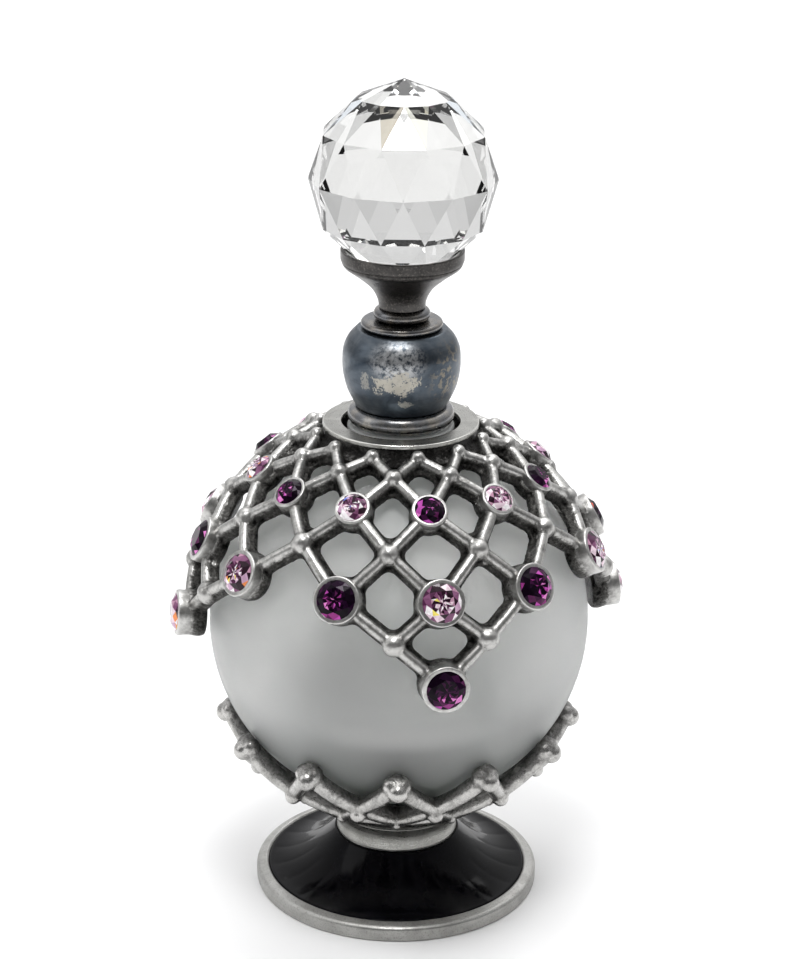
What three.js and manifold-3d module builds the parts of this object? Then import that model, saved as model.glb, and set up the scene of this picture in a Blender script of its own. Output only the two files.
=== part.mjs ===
// Perfume bottle: a frosted glass globe held between a jewelled openwork cap and a footed basket,
// closed by a push-in stopper that carries a faceted crystal ball.
// Millimetres, +Z up. The origin is on the bottle's axis at the underside of its foot.
import * as THREE from 'three';
import { mergeVertices } from 'three/addons/utils/BufferGeometryUtils.js';
import Module from 'manifold-3d';

const wasm = await Module();
wasm.setup();

// ---- driving dimensions -------------------------------------------------------------------------

const COLUMNS = 12; // gem columns round the cap, and prongs round the basket
const COLUMN_STEP = 360 / COLUMNS;
const GLOBE_SIDES = 32;
const TURNED_SIDES = 24; // sides of the other large turned pieces
const SMALL_SIDES = 20; // sides of the small turned pieces
const GEM_SIDES = 8;

const FOOT_R = 24.93;
const FOOT_RIM_TOP = 2.7; // height of the rim's outer edge
const ENAMEL_R = 22.7; // where the enamel starts, inside the rim
const ENAMEL_FOOT_Z = 2.95;
const ENAMEL_THICKNESS = 0.6;
const FLARE_POWER = 2.2; // how quickly the foot's flare falls away from the collar
const COLLAR_BOTTOM = 9.9;
const COLLAR_TOP = 14.1;
const COLLAR_BOTTOM_R = 10.7;
const COLLAR_WAIST_R = 10.45;
const COLLAR_TOP_R = 11;
const REST_INNER_R = 19.9; // the flat ring that the bottle stands on starts here
const UNDERSIDE_RECESS = 1.2;

const FOOT_SCREW_R = 1.95;
const FOOT_SCREW_HEAD_R = 3.7;
const SCREW_PLAY = 0.25; // radial room round both screws

const GLOBE_R = 32.7;
const GLOBE_Z = 50.3; // height of the globe's centre
const GLASS_WALL = 2.5;
const SEAT_R = 8; // flat ground under the globe
const NECK_R = 9.09;
const NECK_BORE_R = 6.5;
const LIP_Z = 85.6;
const LIP_ROUND = 0.5;

const CAP_RIDGE_R = 37.4; // the cap's ridge lines, measured from the globe's centre
const CAP_RIB = { width: 2.6, slope: 0.8, depth: 2.8 };
const KNOT_SINK = 0.5; // a knot's middle lies this far under the ridge line
const BEZEL_BACK_R = 33.8;
const STONE_PLAY = 0.1;
const STONE_BACK = 2.6; // depth of a stone's point under its bezel's rim
const STONE_GIRDLE = [-0.9, -0.05];
const STONE_CROWN = 0.85; // a stone's table stands this far above its bezel's rim
const TABLE_SHARE = 0.62; // a stone's table, as a share of its radius
const POCKET_DEPTH = STONE_BACK + 0.3;
const CAP_TURN = 11.5; // longitude of the front gem column
const FESTOON_COLUMNS = 3; // gem columns from one hanging point to the next

const SHOULDER_RING_R = 13.23;
const SHOULDER_RING_BORE_R = 10.04;
const SHOULDER_RING_BOTTOM = 85.3;
const SHOULDER_RING_TOP = 86.05;

const WASHER_TOP = LIP_Z + 0.5; // the stopper's metal starts here
const BASE_RING_TOP = 88.9;
const BULB_TOP = 102.4;
const BULB_WALL = 0.9;
const STEP_RING_TOP = 103.8;
const BEAD_TOP = 105.8;
const CUP_RIM_Z = 115.84;
const CUP_RIM_R = 10.31;
const STACK_SCREW_R = 1.5;
const STACK_HOLE_R = STACK_SCREW_R + SCREW_PLAY;
const SCREW_HEAD_TOP = 111.75; // the long screw's head, under the ball
const CORE_R = 2.9;
const CORE_BOTTOM = 80.2;
const CORE_FLOOR = 83.3; // middle of the core's web, between its two blind holes
const PLUG_BOTTOM = 80.6;
const DABBER_R = 1.5;
const DABBER_TIP_R = 2.3;
const DABBER_TIP_Z = 48; // centre of the dabber's ball end

const BALL_R = 15.6; // to its corners; it is 30 mm between opposite facets
const BALL_Z = 127.6;
const BALL_CROWN = 16.57; // height of its top point above its centre
const BALL_RINGS = [-60, -30, 0, 30, 60]; // latitudes of its corners
const BALL_SIDES = 12;
const BALL_PLAY = 0.25; // room round the ball in its cup

// ---- the cap's nodes: latitudes on the globe, seen from its centre -------------------------------

const PEAK_LATITUDE = 67.1;
const TOP_KNOT = { latitude: 60.4 };
const MIDDLE_KNOT = { latitude: 38.5, radius: 1.9 };
const LOW_KNOT = { latitude: 15.6, radius: 2, beside: 12.7 };
const UPPER_STONE = { latitude: 49.7, radius: 2.5, bezel: 0.42, rimR: 37.6 };
const MIDDLE_STONE = { latitude: 25.8, radius: 3.25, bezel: 0.58, rimR: 38.2, beside: 28.5 };
const LOWER_STONE = { latitude: 4.9, radius: 3.25, bezel: 0.58, rimR: 38.8 };

// ---- the basket's nodes -------------------------------------------------------------------------

const BASKET_BAR = { width: 2.7, slope: 0.8, depth: 3.2 };
const PRONG_TIP = { latitude: -32.2, turn: 0, ridgeR: 36.2 };
const PRONG_BALL = { latitude: -46.1, turn: COLUMN_STEP / 2, ridgeR: 36.8 };
const PRONG_ROOT = { latitude: -59.3, turn: 0, ridgeR: 36.6 };
const KNOB = { radius: 1.8, from: 33, to: 37.5 }; // the round-ended knob on each prong's tip
const DISH_RIM = { radius: 17.9, bottom: 18.1, top: 19.8 }; // the edge of the dish under the globe

// ---- materials ----------------------------------------------------------------------------------

const FINISHES = {
  crystal: { color: 0xdfe4ea, roughness: 0.05, metalness: 0.1 },
  gunmetal: { color: 0x6a5d56, roughness: 0.4, metalness: 0.9 },
  bulb: { color: 0x8b949d, roughness: 0.38, metalness: 0.9 },
  polished: { color: 0x77797d, roughness: 0.22, metalness: 1 },
  pewter: { color: 0x9a9893, roughness: 0.45, metalness: 0.9 },
  bright_pewter: { color: 0xb4b3ae, roughness: 0.5, metalness: 0.85 },
  satin: { color: 0xc3c2bd, roughness: 0.4, metalness: 0.9 },
  frosted_glass: { color: 0xc4c7c8, roughness: 0.6, metalness: 0 },
  amethyst: { color: 0x3a1740, roughness: 0.08, metalness: 0.2 },
  lavender: { color: 0xd0b6d2, roughness: 0.08, metalness: 0.2 },
  enamel: { color: 0x0b0b0d, roughness: 0.08, metalness: 0 },
  brass: { color: 0xb8954f, roughness: 0.35, metalness: 0.9 },
  steel: { color: 0x9c9fa3, roughness: 0.3, metalness: 1 },
  polyethylene: { color: 0xe9ebe8, roughness: 0.5, metalness: 0 },
  silicone: { color: 0xd5d8d8, roughness: 0.45, metalness: 0 },
};

// ---- helpers ------------------------------------------------------------------------------------

const radians = THREE.MathUtils.degToRad;

// Unit vector from the globe's centre. Longitude 0 is the front, -Y, and grows towards +X.
function direction(latitude, longitude) {
  const flat = Math.cos(radians(latitude));
  return new THREE.Vector3(
    flat * Math.sin(radians(longitude)),
    -flat * Math.cos(radians(longitude)),
    Math.sin(radians(latitude)),
  );
}

const wrapped = (k) => (k + COLUMNS) % COLUMNS;

// Outline points [r, z] of an arc about a centre on the axis, between two latitudes.
function arc(centreZ, radius, from, to, steps) {
  return Array.from({ length: steps + 1 }, (_, step) => {
    const latitude = radians(from + ((to - from) * step) / steps);
    return [radius * Math.cos(latitude), centreZ + radius * Math.sin(latitude)];
  });
}

// A half-round edge that bulges outwards from (r, bottom) to (r, top).
function bulge(r, bottom, top, stand, steps = 3) {
  const middle = (bottom + top) / 2;
  return Array.from({ length: steps + 1 }, (_, step) => {
    const angle = -Math.PI / 2 + (Math.PI * step) / steps;
    return [r + stand * Math.cos(angle), middle + ((top - bottom) / 2) * Math.sin(angle)];
  });
}

// A turned piece from an outline that goes up its outside and down its inside. An outline that
// doesn't both start and end on the axis is closed on itself.
function turned(outline, sides = SMALL_SIDES) {
  const onAxis = outline[0][0] === 0 && outline.at(-1)[0] === 0;
  const points = (onAxis ? outline : [...outline, outline[0]]).map(([r, z]) => new THREE.Vector2(r, z));
  return new THREE.LatheGeometry(points, sides).rotateX(Math.PI / 2);
}

// three.js geometry to a manifold solid: shared corners merged, collapsed triangles left out.
function toSolid(geometry) {
  const bare = geometry.clone();
  bare.deleteAttribute('normal');
  bare.deleteAttribute('uv');
  const merged = mergeVertices(bare, 1e-4);
  const index = merged.index.array;
  const kept = [];
  for (let i = 0; i < index.length; i += 3) {
    const [a, b, c] = index.slice(i, i + 3);
    if (a !== b && b !== c && c !== a) kept.push(a, b, c);
  }
  const vertProperties = new Float32Array(merged.attributes.position.array);
  const mesh = new wasm.Mesh({ numProp: 3, vertProperties, triVerts: new Uint32Array(kept) });
  return new wasm.Manifold(mesh);
}

function toGeometry(solid) {
  const { vertProperties, triVerts } = solid.getMesh();
  const geometry = new THREE.BufferGeometry();
  geometry.setAttribute('position', new THREE.BufferAttribute(vertProperties, 3));
  geometry.setIndex(new THREE.BufferAttribute(triVerts, 1));
  geometry.computeVertexNormals();
  return geometry;
}

// Joins a list of solids in pairs, which is quicker than one after another.
function joined(solids) {
  let rest = solids;
  while (rest.length > 1) {
    rest = rest.reduce((pairs, solid, i) => {
      if (i % 2) pairs[pairs.length - 1] = pairs.at(-1).add(solid);
      else pairs.push(solid);
      return pairs;
    }, []);
  }
  return rest[0];
}

const GLOBE_CENTRE = new THREE.Vector3(0, 0, GLOBE_Z);

// Moves a geometry made along +Z so that +Z points along `outward` and 0 is `distance` from the
// globe's centre.
function placeOnGlobe(geometry, outward, distance) {
  const turn = new THREE.Quaternion().setFromUnitVectors(new THREE.Vector3(0, 0, 1), outward);
  const place = GLOBE_CENTRE.clone().addScaledVector(outward, distance);
  return geometry.applyMatrix4(new THREE.Matrix4().compose(place, turn, new THREE.Vector3(1, 1, 1)));
}

// Where the edges of a cell's hole meet beside one of its nodes, half a rib inside the cell.
function holeCorner(previous, node, next, ribWidth) {
  const normal = node.clone().normalize();
  const tangent = (to) => to.clone().addScaledVector(normal, -to.dot(normal)).normalize();
  const ahead = tangent(next);
  const behind = tangent(previous);
  const turn = Math.atan2(ahead.clone().cross(behind).dot(normal), ahead.dot(behind));
  const half = (turn > 0 ? turn : turn + 2 * Math.PI) / 2;
  const reach = ribWidth / 2 / Math.sin(half);
  return node.clone().addScaledVector(ahead.applyAxisAngle(normal, half), reach).setLength(node.length());
}

// Openwork that follows a net round the globe. Nodes are vectors from the globe's centre, and each
// cell is a ring of them that runs anticlockwise seen from outside. The ribs are ridged along the
// lines between the nodes and slope to the edges of the holes, whose walls go straight in.
function netSolid(cells, { width, slope, depth }) {
  const corners = [];
  const at = (node, under) => node.clone().setLength(node.length() - under).add(GLOBE_CENTRE).toArray();
  const quad = (a, b, c, d) => corners.push(a, b, c, a, c, d);
  for (const nodes of cells) {
    const count = nodes.length;
    const holes = nodes.map((node, i) => {
      return holeCorner(nodes.at(i - 1), node, nodes[(i + 1) % count], width);
    });
    nodes.forEach((node, i) => {
      const j = (i + 1) % count;
      const edge = [at(holes[i], slope), at(holes[j], slope)];
      const back = [at(holes[i], depth), at(holes[j], depth)];
      quad(at(node, 0), at(nodes[j], 0), edge[1], edge[0]);
      quad(edge[0], edge[1], back[1], back[0]);
      quad(back[0], back[1], at(nodes[j], depth), at(node, depth));
    });
  }
  const geometry = new THREE.BufferGeometry();
  geometry.setAttribute('position', new THREE.Float32BufferAttribute(corners.flat(), 3));
  return toSolid(geometry);
}

// A knot where ribs cross, `above` the net's ridge line.
function knotSolid(node, radius, above) {
  const ball = new THREE.IcosahedronGeometry(radius);
  return toSolid(placeOnGlobe(ball, node.clone().normalize(), node.length() + above));
}

// ---- foot ---------------------------------------------------------------------------------------

// Points of the foot's concave flare, from the rim up to the collar, `under` below the enamel.
function flare(under, steps = 5) {
  return Array.from({ length: steps + 1 }, (_, step) => {
    const share = 1 - step / steps;
    const rise = (COLLAR_BOTTOM - ENAMEL_FOOT_Z) * (1 - share) ** FLARE_POWER;
    const r = COLLAR_BOTTOM_R + (ENAMEL_R - COLLAR_BOTTOM_R) * share;
    return [r - under * 0.5 * (1 - share), ENAMEL_FOOT_Z + rise - under];
  });
}

function footBase() {
  const hole = FOOT_SCREW_R + SCREW_PLAY;
  const counterboreR = FOOT_SCREW_HEAD_R + SCREW_PLAY;
  const counterboreTop = 3.9;
  const rimRound = 0.35;
  return turned([
    [hole, counterboreTop],
    [counterboreR, counterboreTop],
    [counterboreR, UNDERSIDE_RECESS],
    [REST_INNER_R - 0.6, UNDERSIDE_RECESS],
    [REST_INNER_R, 0],
    [FOOT_R - rimRound, 0],
    [FOOT_R, rimRound],
    [FOOT_R, FOOT_RIM_TOP - rimRound],
    [FOOT_R - rimRound, FOOT_RIM_TOP],
    [ENAMEL_R + 0.2, 3.1],
    ...flare(ENAMEL_THICKNESS),
    [COLLAR_BOTTOM_R - 0.5, COLLAR_BOTTOM],
    [hole, COLLAR_BOTTOM],
  ], TURNED_SIDES);
}

function footEnamel() {
  const bedding = 0.05;
  const under = flare(ENAMEL_THICKNESS - bedding).reverse();
  return turned([...flare(0), ...under], TURNED_SIDES);
}

function footCollar() {
  const hole = FOOT_SCREW_R + SCREW_PLAY;
  const third = (COLLAR_TOP - COLLAR_BOTTOM) / 3;
  return turned([
    [hole, COLLAR_BOTTOM],
    [COLLAR_BOTTOM_R, COLLAR_BOTTOM],
    [COLLAR_WAIST_R, COLLAR_BOTTOM + third],
    [COLLAR_WAIST_R + 0.1, COLLAR_TOP - third],
    [COLLAR_TOP_R, COLLAR_TOP],
    [hole, COLLAR_TOP],
  ], TURNED_SIDES);
}

function footScrew() {
  const headBottom = 1.5;
  const headTop = 3.6;
  const tip = 16.8;
  return turned([
    [0, headBottom],
    [FOOT_SCREW_HEAD_R - 0.5, headBottom],
    [FOOT_SCREW_HEAD_R, headBottom + 0.6],
    [FOOT_SCREW_HEAD_R, headTop],
    [FOOT_SCREW_R, headTop],
    [FOOT_SCREW_R, tip - 0.6],
    [FOOT_SCREW_R - 0.6, tip],
    [0, tip],
  ]);
}

// ---- basket -------------------------------------------------------------------------------------

const SEAT_Z = GLOBE_Z - Math.sqrt(GLOBE_R ** 2 - SEAT_R ** 2);

// The dish that the globe stands in, tapped from below for the foot's screw.
function basketDish() {
  const hole = FOOT_SCREW_R + SCREW_PLAY;
  const blindEnd = 17.1;
  const { radius, bottom, top } = DISH_RIM;
  return turned([
    [0, blindEnd],
    [hole, blindEnd],
    [hole, COLLAR_TOP],
    [COLLAR_TOP_R + 0.2, COLLAR_TOP],
    [radius - 0.3, bottom],
    [radius, bottom + 0.4],
    [radius, top - 0.4],
    [radius - 0.8, top],
    [SEAT_R + 0.4, SEAT_Z],
    [0, SEAT_Z],
  ], TURNED_SIDES);
}

// A round-ended knob that stands straight out from the globe at a node.
function knobSolid(node) {
  const { radius, from, to } = KNOB;
  const length = to - from;
  const knob = turned([
    [0, 0],
    [radius, 0],
    [radius, length - 0.55 * radius],
    [0.72 * radius, length - 0.2],
    [0, length],
  ], GEM_SIDES);
  return toSolid(placeOnGlobe(knob, node.clone().normalize(), from));
}

function lowerBasket() {
  const columns = Array.from({ length: COLUMNS }, (_, k) => k);
  const node = ({ latitude, turn, ridgeR }, k) => {
    return direction(latitude, wrapped(k) * COLUMN_STEP + turn).setLength(ridgeR);
  };
  const tip = (k) => node(PRONG_TIP, k);
  const ball = (k) => node(PRONG_BALL, k);
  const root = (k) => node(PRONG_ROOT, k);
  const cells = [
    columns.flatMap((k) => [tip(k), ball(k)]), // all that lies above the prongs
    ...columns.map((k) => [root(k), ball(k), tip(k), ball(k - 1)]),
    ...columns.map((k) => [root(k), root(k + 1), ball(k)]),
    columns.map((k) => root(-k)), // the ring that the dish fills
  ];
  const knobs = columns.map((k) => knobSolid(tip(k)));
  return toGeometry(joined([netSolid(cells, BASKET_BAR), toSolid(basketDish()), ...knobs]));
}

// ---- globe --------------------------------------------------------------------------------------

function glassGlobe() {
  const innerR = GLOBE_R - GLASS_WALL;
  const latitudeAt = (r, radius) => THREE.MathUtils.radToDeg(Math.acos(r / radius));
  return turned([
    [0, SEAT_Z],
    ...arc(GLOBE_Z, GLOBE_R, -latitudeAt(SEAT_R, GLOBE_R), latitudeAt(NECK_R - 0.1, GLOBE_R), 11),
    [NECK_R - 0.1, LIP_Z - 2.5],
    [NECK_R, LIP_Z - LIP_ROUND],
    [NECK_R - LIP_ROUND, LIP_Z],
    [NECK_BORE_R + 0.2, LIP_Z],
    [NECK_BORE_R, LIP_Z - 0.3],
    ...arc(GLOBE_Z, innerR, latitudeAt(NECK_BORE_R, innerR), -90, 9).slice(0, -1),
    [0, GLOBE_Z - innerR],
  ], GLOBE_SIDES);
}

// ---- cap ----------------------------------------------------------------------------------------

// The collar that the cap's top bars run into, and that carries the shoulder ring.
function capCollar() {
  return turned([
    [10.4, 82.2],
    [14.1, 81.2],
    [14.9, 83.1],
    [13.2, 84.1],
    [12.9, SHOULDER_RING_BOTTOM],
    [10.4, SHOULDER_RING_BOTTOM],
  ], TURNED_SIDES);
}

const gemLongitude = (k) => CAP_TURN + wrapped(k) * COLUMN_STEP;
const knotLongitude = (k) => gemLongitude(k) + COLUMN_STEP / 2;

// The middle stones beside a festoon's point are drawn a little towards it.
function middleStoneLongitude(k) {
  const pull = COLUMN_STEP - MIDDLE_STONE.beside;
  return gemLongitude(k) + [0, -pull, pull][wrapped(k) % FESTOON_COLUMNS];
}

const onRidge = (latitude, longitude) => direction(latitude, longitude).setLength(CAP_RIDGE_R);

// The nodes of the cap's net. Column k has gems; its knots are half a step further round.
const net = {
  peak: (k) => onRidge(PEAK_LATITUDE, gemLongitude(k)),
  topKnot: (k) => onRidge(TOP_KNOT.latitude, knotLongitude(k)),
  upper: (k) => onRidge(UPPER_STONE.latitude, gemLongitude(k)),
  middleKnot: (k) => onRidge(MIDDLE_KNOT.latitude, knotLongitude(k)),
  middle: (k) => onRidge(MIDDLE_STONE.latitude, middleStoneLongitude(k)),
  lowKnot: (k, side) => onRidge(LOW_KNOT.latitude, gemLongitude(k) + side * LOW_KNOT.beside),
  lower: (k) => onRidge(LOWER_STONE.latitude, gemLongitude(k)),
};

// The first cell of the cap's net is its open top, and the last is all that lies below the festoons.
function capCells() {
  const columns = Array.from({ length: COLUMNS }, (_, k) => k);
  const festoons = columns.filter((k) => k % FESTOON_COLUMNS === 0);
  const cells = [columns.flatMap((k) => [net.peak(k), net.topKnot(k)])];
  for (const k of columns) {
    cells.push([net.upper(k), net.topKnot(k), net.peak(k), net.topKnot(k - 1)]);
    cells.push([net.middleKnot(k), net.upper(k + 1), net.topKnot(k), net.upper(k)]);
    cells.push([net.middle(k), net.middleKnot(k), net.upper(k), net.middleKnot(k - 1)]);
  }
  for (const k of festoons) {
    cells.push([net.lowKnot(k, 1), net.middle(k + 1), net.middleKnot(k), net.middle(k)]);
    cells.push([net.lowKnot(k, -1), net.middle(k), net.middleKnot(k - 1), net.middle(k - 1)]);
    cells.push([net.lower(k), net.lowKnot(k, 1), net.middle(k), net.lowKnot(k, -1)]);
  }
  const hem = festoons.reverse().flatMap((k) => [
    net.middleKnot(k + 1),
    net.middle(k + 1),
    net.lowKnot(k, 1),
    net.lower(k),
    net.lowKnot(k, -1),
    net.middle(k - 1),
  ]);
  return [...cells, hem];
}

// Every stone of the cap: its node name, setting, longitude and whether it is a dark one.
const stones = [];
for (let k = 0; k < COLUMNS; k++) {
  const number = String(k + 1).padStart(2, '0');
  const even = k % 2 === 0;
  stones.push({ name: `stone_upper_${number}`, set: UPPER_STONE, longitude: gemLongitude(k), dark: even });
  stones.push({
    name: `stone_middle_${number}`,
    set: MIDDLE_STONE,
    longitude: middleStoneLongitude(k),
    dark: !even,
  });
  if (k % FESTOON_COLUMNS === 0) {
    stones.push({ name: `stone_lower_${number}`, set: LOWER_STONE, longitude: gemLongitude(k), dark: even });
  }
}

function prism(radius, bottom, top) {
  return new THREE.CylinderGeometry(radius, radius, top - bottom, GEM_SIDES)
    .rotateX(Math.PI / 2)
    .translate(0, 0, (bottom + top) / 2);
}

function bezelSolid({ set, longitude }) {
  const outward = direction(set.latitude, longitude);
  const outerR = set.radius + STONE_PLAY + set.bezel;
  return toSolid(placeOnGlobe(prism(outerR, BEZEL_BACK_R - set.rimR, 0), outward, set.rimR));
}

function pocketSolid({ set, longitude }) {
  const outward = direction(set.latitude, longitude);
  return toSolid(placeOnGlobe(prism(set.radius + STONE_PLAY, -POCKET_DEPTH, 1), outward, set.rimR));
}

function latticeCap() {
  const knots = [];
  for (let k = 0; k < COLUMNS; k++) {
    knots.push(knotSolid(net.middleKnot(k), MIDDLE_KNOT.radius, -KNOT_SINK));
    if (k % FESTOON_COLUMNS === 0) {
      for (const side of [-1, 1]) knots.push(knotSolid(net.lowKnot(k, side), LOW_KNOT.radius, -KNOT_SINK));
    }
  }
  const bezels = stones.map(bezelSolid);
  const metal = joined([netSolid(capCells(), CAP_RIB), toSolid(capCollar()), ...knots, ...bezels]);
  return toGeometry(metal.subtract(joined(stones.map(pocketSolid))));
}

// A round stone: pointed back, straight girdle, and a crown that stands above its bezel.
function stone({ set, longitude }) {
  const outline = [
    [0, -STONE_BACK],
    [set.radius, STONE_GIRDLE[0]],
    [set.radius, STONE_GIRDLE[1]],
    [TABLE_SHARE * set.radius, STONE_CROWN],
    [0, STONE_CROWN],
  ];
  const gem = turned(outline, GEM_SIDES);
  return placeOnGlobe(gem, direction(set.latitude, longitude), set.rimR);
}

function shoulderRing() {
  return turned([
    [SHOULDER_RING_BORE_R, SHOULDER_RING_BOTTOM],
    [SHOULDER_RING_R, SHOULDER_RING_BOTTOM],
    [SHOULDER_RING_R, SHOULDER_RING_TOP - 0.2],
    [SHOULDER_RING_R - 0.2, SHOULDER_RING_TOP],
    [SHOULDER_RING_BORE_R, SHOULDER_RING_TOP],
  ], TURNED_SIDES);
}

// ---- stopper ------------------------------------------------------------------------------------

function sealWasher() {
  return turned([[6.5, LIP_Z], [8.5, LIP_Z], [8.5, WASHER_TOP], [6.5, WASHER_TOP]]);
}

// A soft plug with sealing ribs, bored for the metal core.
function stopperPlug() {
  const bore = CORE_R + SCREW_PLAY;
  const bodyR = 5.9;
  const ribStand = 0.3;
  const ribs = 2;
  const pitch = (LIP_Z - PLUG_BOTTOM) / (ribs + 0.5);
  const outside = Array.from({ length: ribs }, (_, i) => {
    const z = PLUG_BOTTOM + pitch * (i + 0.5);
    return [[bodyR, z], [bodyR + ribStand, z + 0.35], [bodyR + ribStand, z + 0.6], [bodyR, z + 0.95]];
  }).flat();
  return turned([
    [bore, PLUG_BOTTOM],
    [bodyR - 0.4, PLUG_BOTTOM],
    ...outside,
    [bodyR, WASHER_TOP],
    [bore, WASHER_TOP],
  ], 16);
}

function stopperCore() {
  const web = 0.3;
  return turned([
    [0, CORE_FLOOR - web],
    [DABBER_R + SCREW_PLAY, CORE_FLOOR - web],
    [DABBER_R + SCREW_PLAY, CORE_BOTTOM],
    [CORE_R, CORE_BOTTOM],
    [CORE_R, WASHER_TOP],
    [STACK_HOLE_R, WASHER_TOP],
    [STACK_HOLE_R, CORE_FLOOR + web],
    [0, CORE_FLOOR + web],
  ]);
}

function dabberRod() {
  const neckLatitude = THREE.MathUtils.radToDeg(Math.acos(DABBER_R / DABBER_TIP_R));
  return turned([
    [0, DABBER_TIP_Z - DABBER_TIP_R],
    ...arc(DABBER_TIP_Z, DABBER_TIP_R, -90, neckLatitude, 7).slice(1),
    [DABBER_R, CORE_FLOOR - 0.6],
    [0, CORE_FLOOR - 0.6],
  ], 16);
}

function bulbBaseRing() {
  return turned([
    [STACK_HOLE_R, WASHER_TOP],
    [7.6, WASHER_TOP],
    ...bulge(7.75, WASHER_TOP + 0.2, BASE_RING_TOP - 0.1, 1.25),
    [7.6, BASE_RING_TOP],
    [STACK_HOLE_R, BASE_RING_TOP],
  ]);
}

const bulbOutline = [
  [7.6, BASE_RING_TOP],
  [8.4, 90.4],
  [9.25, 92.3],
  [9.8, 94.8],
  [9.93, 97.1],
  [9.7, 99.1],
  [8.85, 100.9],
  [7.5, BULB_TOP],
];

// The bulb is a spun shell, open below, with a hole in its crown for the screw.
function stopperBulb() {
  const crown = BULB_TOP - BULB_WALL;
  const belly = bulbOutline.slice(2, -2).map(([r, z]) => [r - BULB_WALL, z]).reverse();
  return turned([
    ...bulbOutline,
    [STACK_HOLE_R, BULB_TOP],
    [STACK_HOLE_R, crown],
    [7, crown],
    ...belly,
    [bulbOutline[0][0] - BULB_WALL, BASE_RING_TOP],
  ]);
}

function stepRing() {
  return turned([
    [STACK_HOLE_R, BULB_TOP],
    [6.6, BULB_TOP],
    ...bulge(6.62, BULB_TOP + 0.1, STEP_RING_TOP - 0.1, 0.29),
    [6.6, STEP_RING_TOP],
    [STACK_HOLE_R, STEP_RING_TOP],
  ]);
}

function upperBeadRing() {
  return turned([
    [STACK_HOLE_R, STEP_RING_TOP],
    [3.9, STEP_RING_TOP],
    ...bulge(3.95, STEP_RING_TOP + 0.1, BEAD_TOP - 0.1, 0.8),
    [3.9, BEAD_TOP],
    [STACK_HOLE_R, BEAD_TOP],
  ]);
}

function finialCup() {
  // the ball's lowest ring of corners, and its 45 degree facets above that, rest in the bowl
  const lowest = radians(BALL_RINGS[0]);
  const ringR = BALL_R * Math.cos(lowest) + BALL_PLAY;
  const ringZ = BALL_Z + BALL_R * Math.sin(lowest);
  const sinkR = 3.05; // countersink for the screw's head
  return turned([
    [STACK_HOLE_R, BEAD_TOP],
    [3.87, BEAD_TOP],
    [4.14, 107.5],
    [5.28, 109.4],
    [7.67, 111.4],
    [10.12, 113.5],
    [CUP_RIM_R, CUP_RIM_Z],
    [ringR + CUP_RIM_Z - ringZ, CUP_RIM_Z],
    [ringR, ringZ],
    [sinkR, SCREW_HEAD_TOP + 0.65],
    [sinkR - 0.25, SCREW_HEAD_TOP - 0.1],
    [STACK_HOLE_R, SCREW_HEAD_TOP - 1.15],
  ]);
}

function stackScrew() {
  const headR = 2.6;
  return turned([
    [0, CORE_FLOOR + 0.6],
    [STACK_SCREW_R, CORE_FLOOR + 0.6],
    [STACK_SCREW_R, SCREW_HEAD_TOP - 1.2],
    [headR, SCREW_HEAD_TOP - 0.1],
    [headR, SCREW_HEAD_TOP],
    [0, SCREW_HEAD_TOP],
  ], 16);
}

// The crystal ball's corners lie on rings 30 degrees apart, each turned half a step from the next.
function crystalBall() {
  const corners = [[0, 0, -BALL_R]];
  BALL_RINGS.forEach((latitude, ring) => {
    for (let i = 0; i < BALL_SIDES; i++) {
      const longitude = ((i + (ring % 2) / 2) * 360) / BALL_SIDES;
      corners.push(direction(latitude, longitude).multiplyScalar(BALL_R).toArray());
    }
  });
  corners.push([0, 0, BALL_CROWN]);
  const top = corners.length - 1;
  const last = BALL_RINGS.length - 1;
  const at = (ring, i) => 1 + ring * BALL_SIDES + (i % BALL_SIDES);
  const faces = [];
  for (let i = 0; i < BALL_SIDES; i++) {
    faces.push(0, at(0, i + 1), at(0, i), top, at(last, i), at(last, i + 1));
    for (let ring = 0; ring < last; ring++) {
      // odd rings lie half a step ahead of the even ones
      const ahead = ring % 2;
      faces.push(at(ring, i), at(ring, i + 1), at(ring + 1, i + ahead));
      faces.push(at(ring, i + 1 - ahead), at(ring + 1, i + 1), at(ring + 1, i));
    }
  }
  const geometry = new THREE.BufferGeometry();
  geometry.setAttribute('position', new THREE.Float32BufferAttribute(corners.flat(), 3));
  geometry.setIndex(faces);
  const flat = geometry.toNonIndexed();
  flat.computeVertexNormals();
  return flat.translate(0, 0, BALL_Z);
}

// ---- assembly -----------------------------------------------------------------------------------

function piece(name, geometry, finish) {
  const mesh = new THREE.Mesh(geometry, new THREE.MeshStandardMaterial(FINISHES[finish]));
  mesh.name = name;
  return mesh;
}

const foot = new THREE.Group();
foot.add(
  piece('foot_base', footBase(), 'satin'),
  piece('foot_enamel', footEnamel(), 'enamel'),
  piece('foot_collar', footCollar(), 'satin'),
  piece('foot_screw', footScrew(), 'steel'),
  piece('lower_basket', lowerBasket(), 'bright_pewter'),
);

const bottle = new THREE.Group();
bottle.add(
  piece('glass_globe', glassGlobe(), 'frosted_glass'),
  piece('lattice_cap', latticeCap(), 'pewter'),
  piece('shoulder_ring', shoulderRing(), 'satin'),
);
for (const gem of stones) bottle.add(piece(gem.name, stone(gem), gem.dark ? 'amethyst' : 'lavender'));

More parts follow.
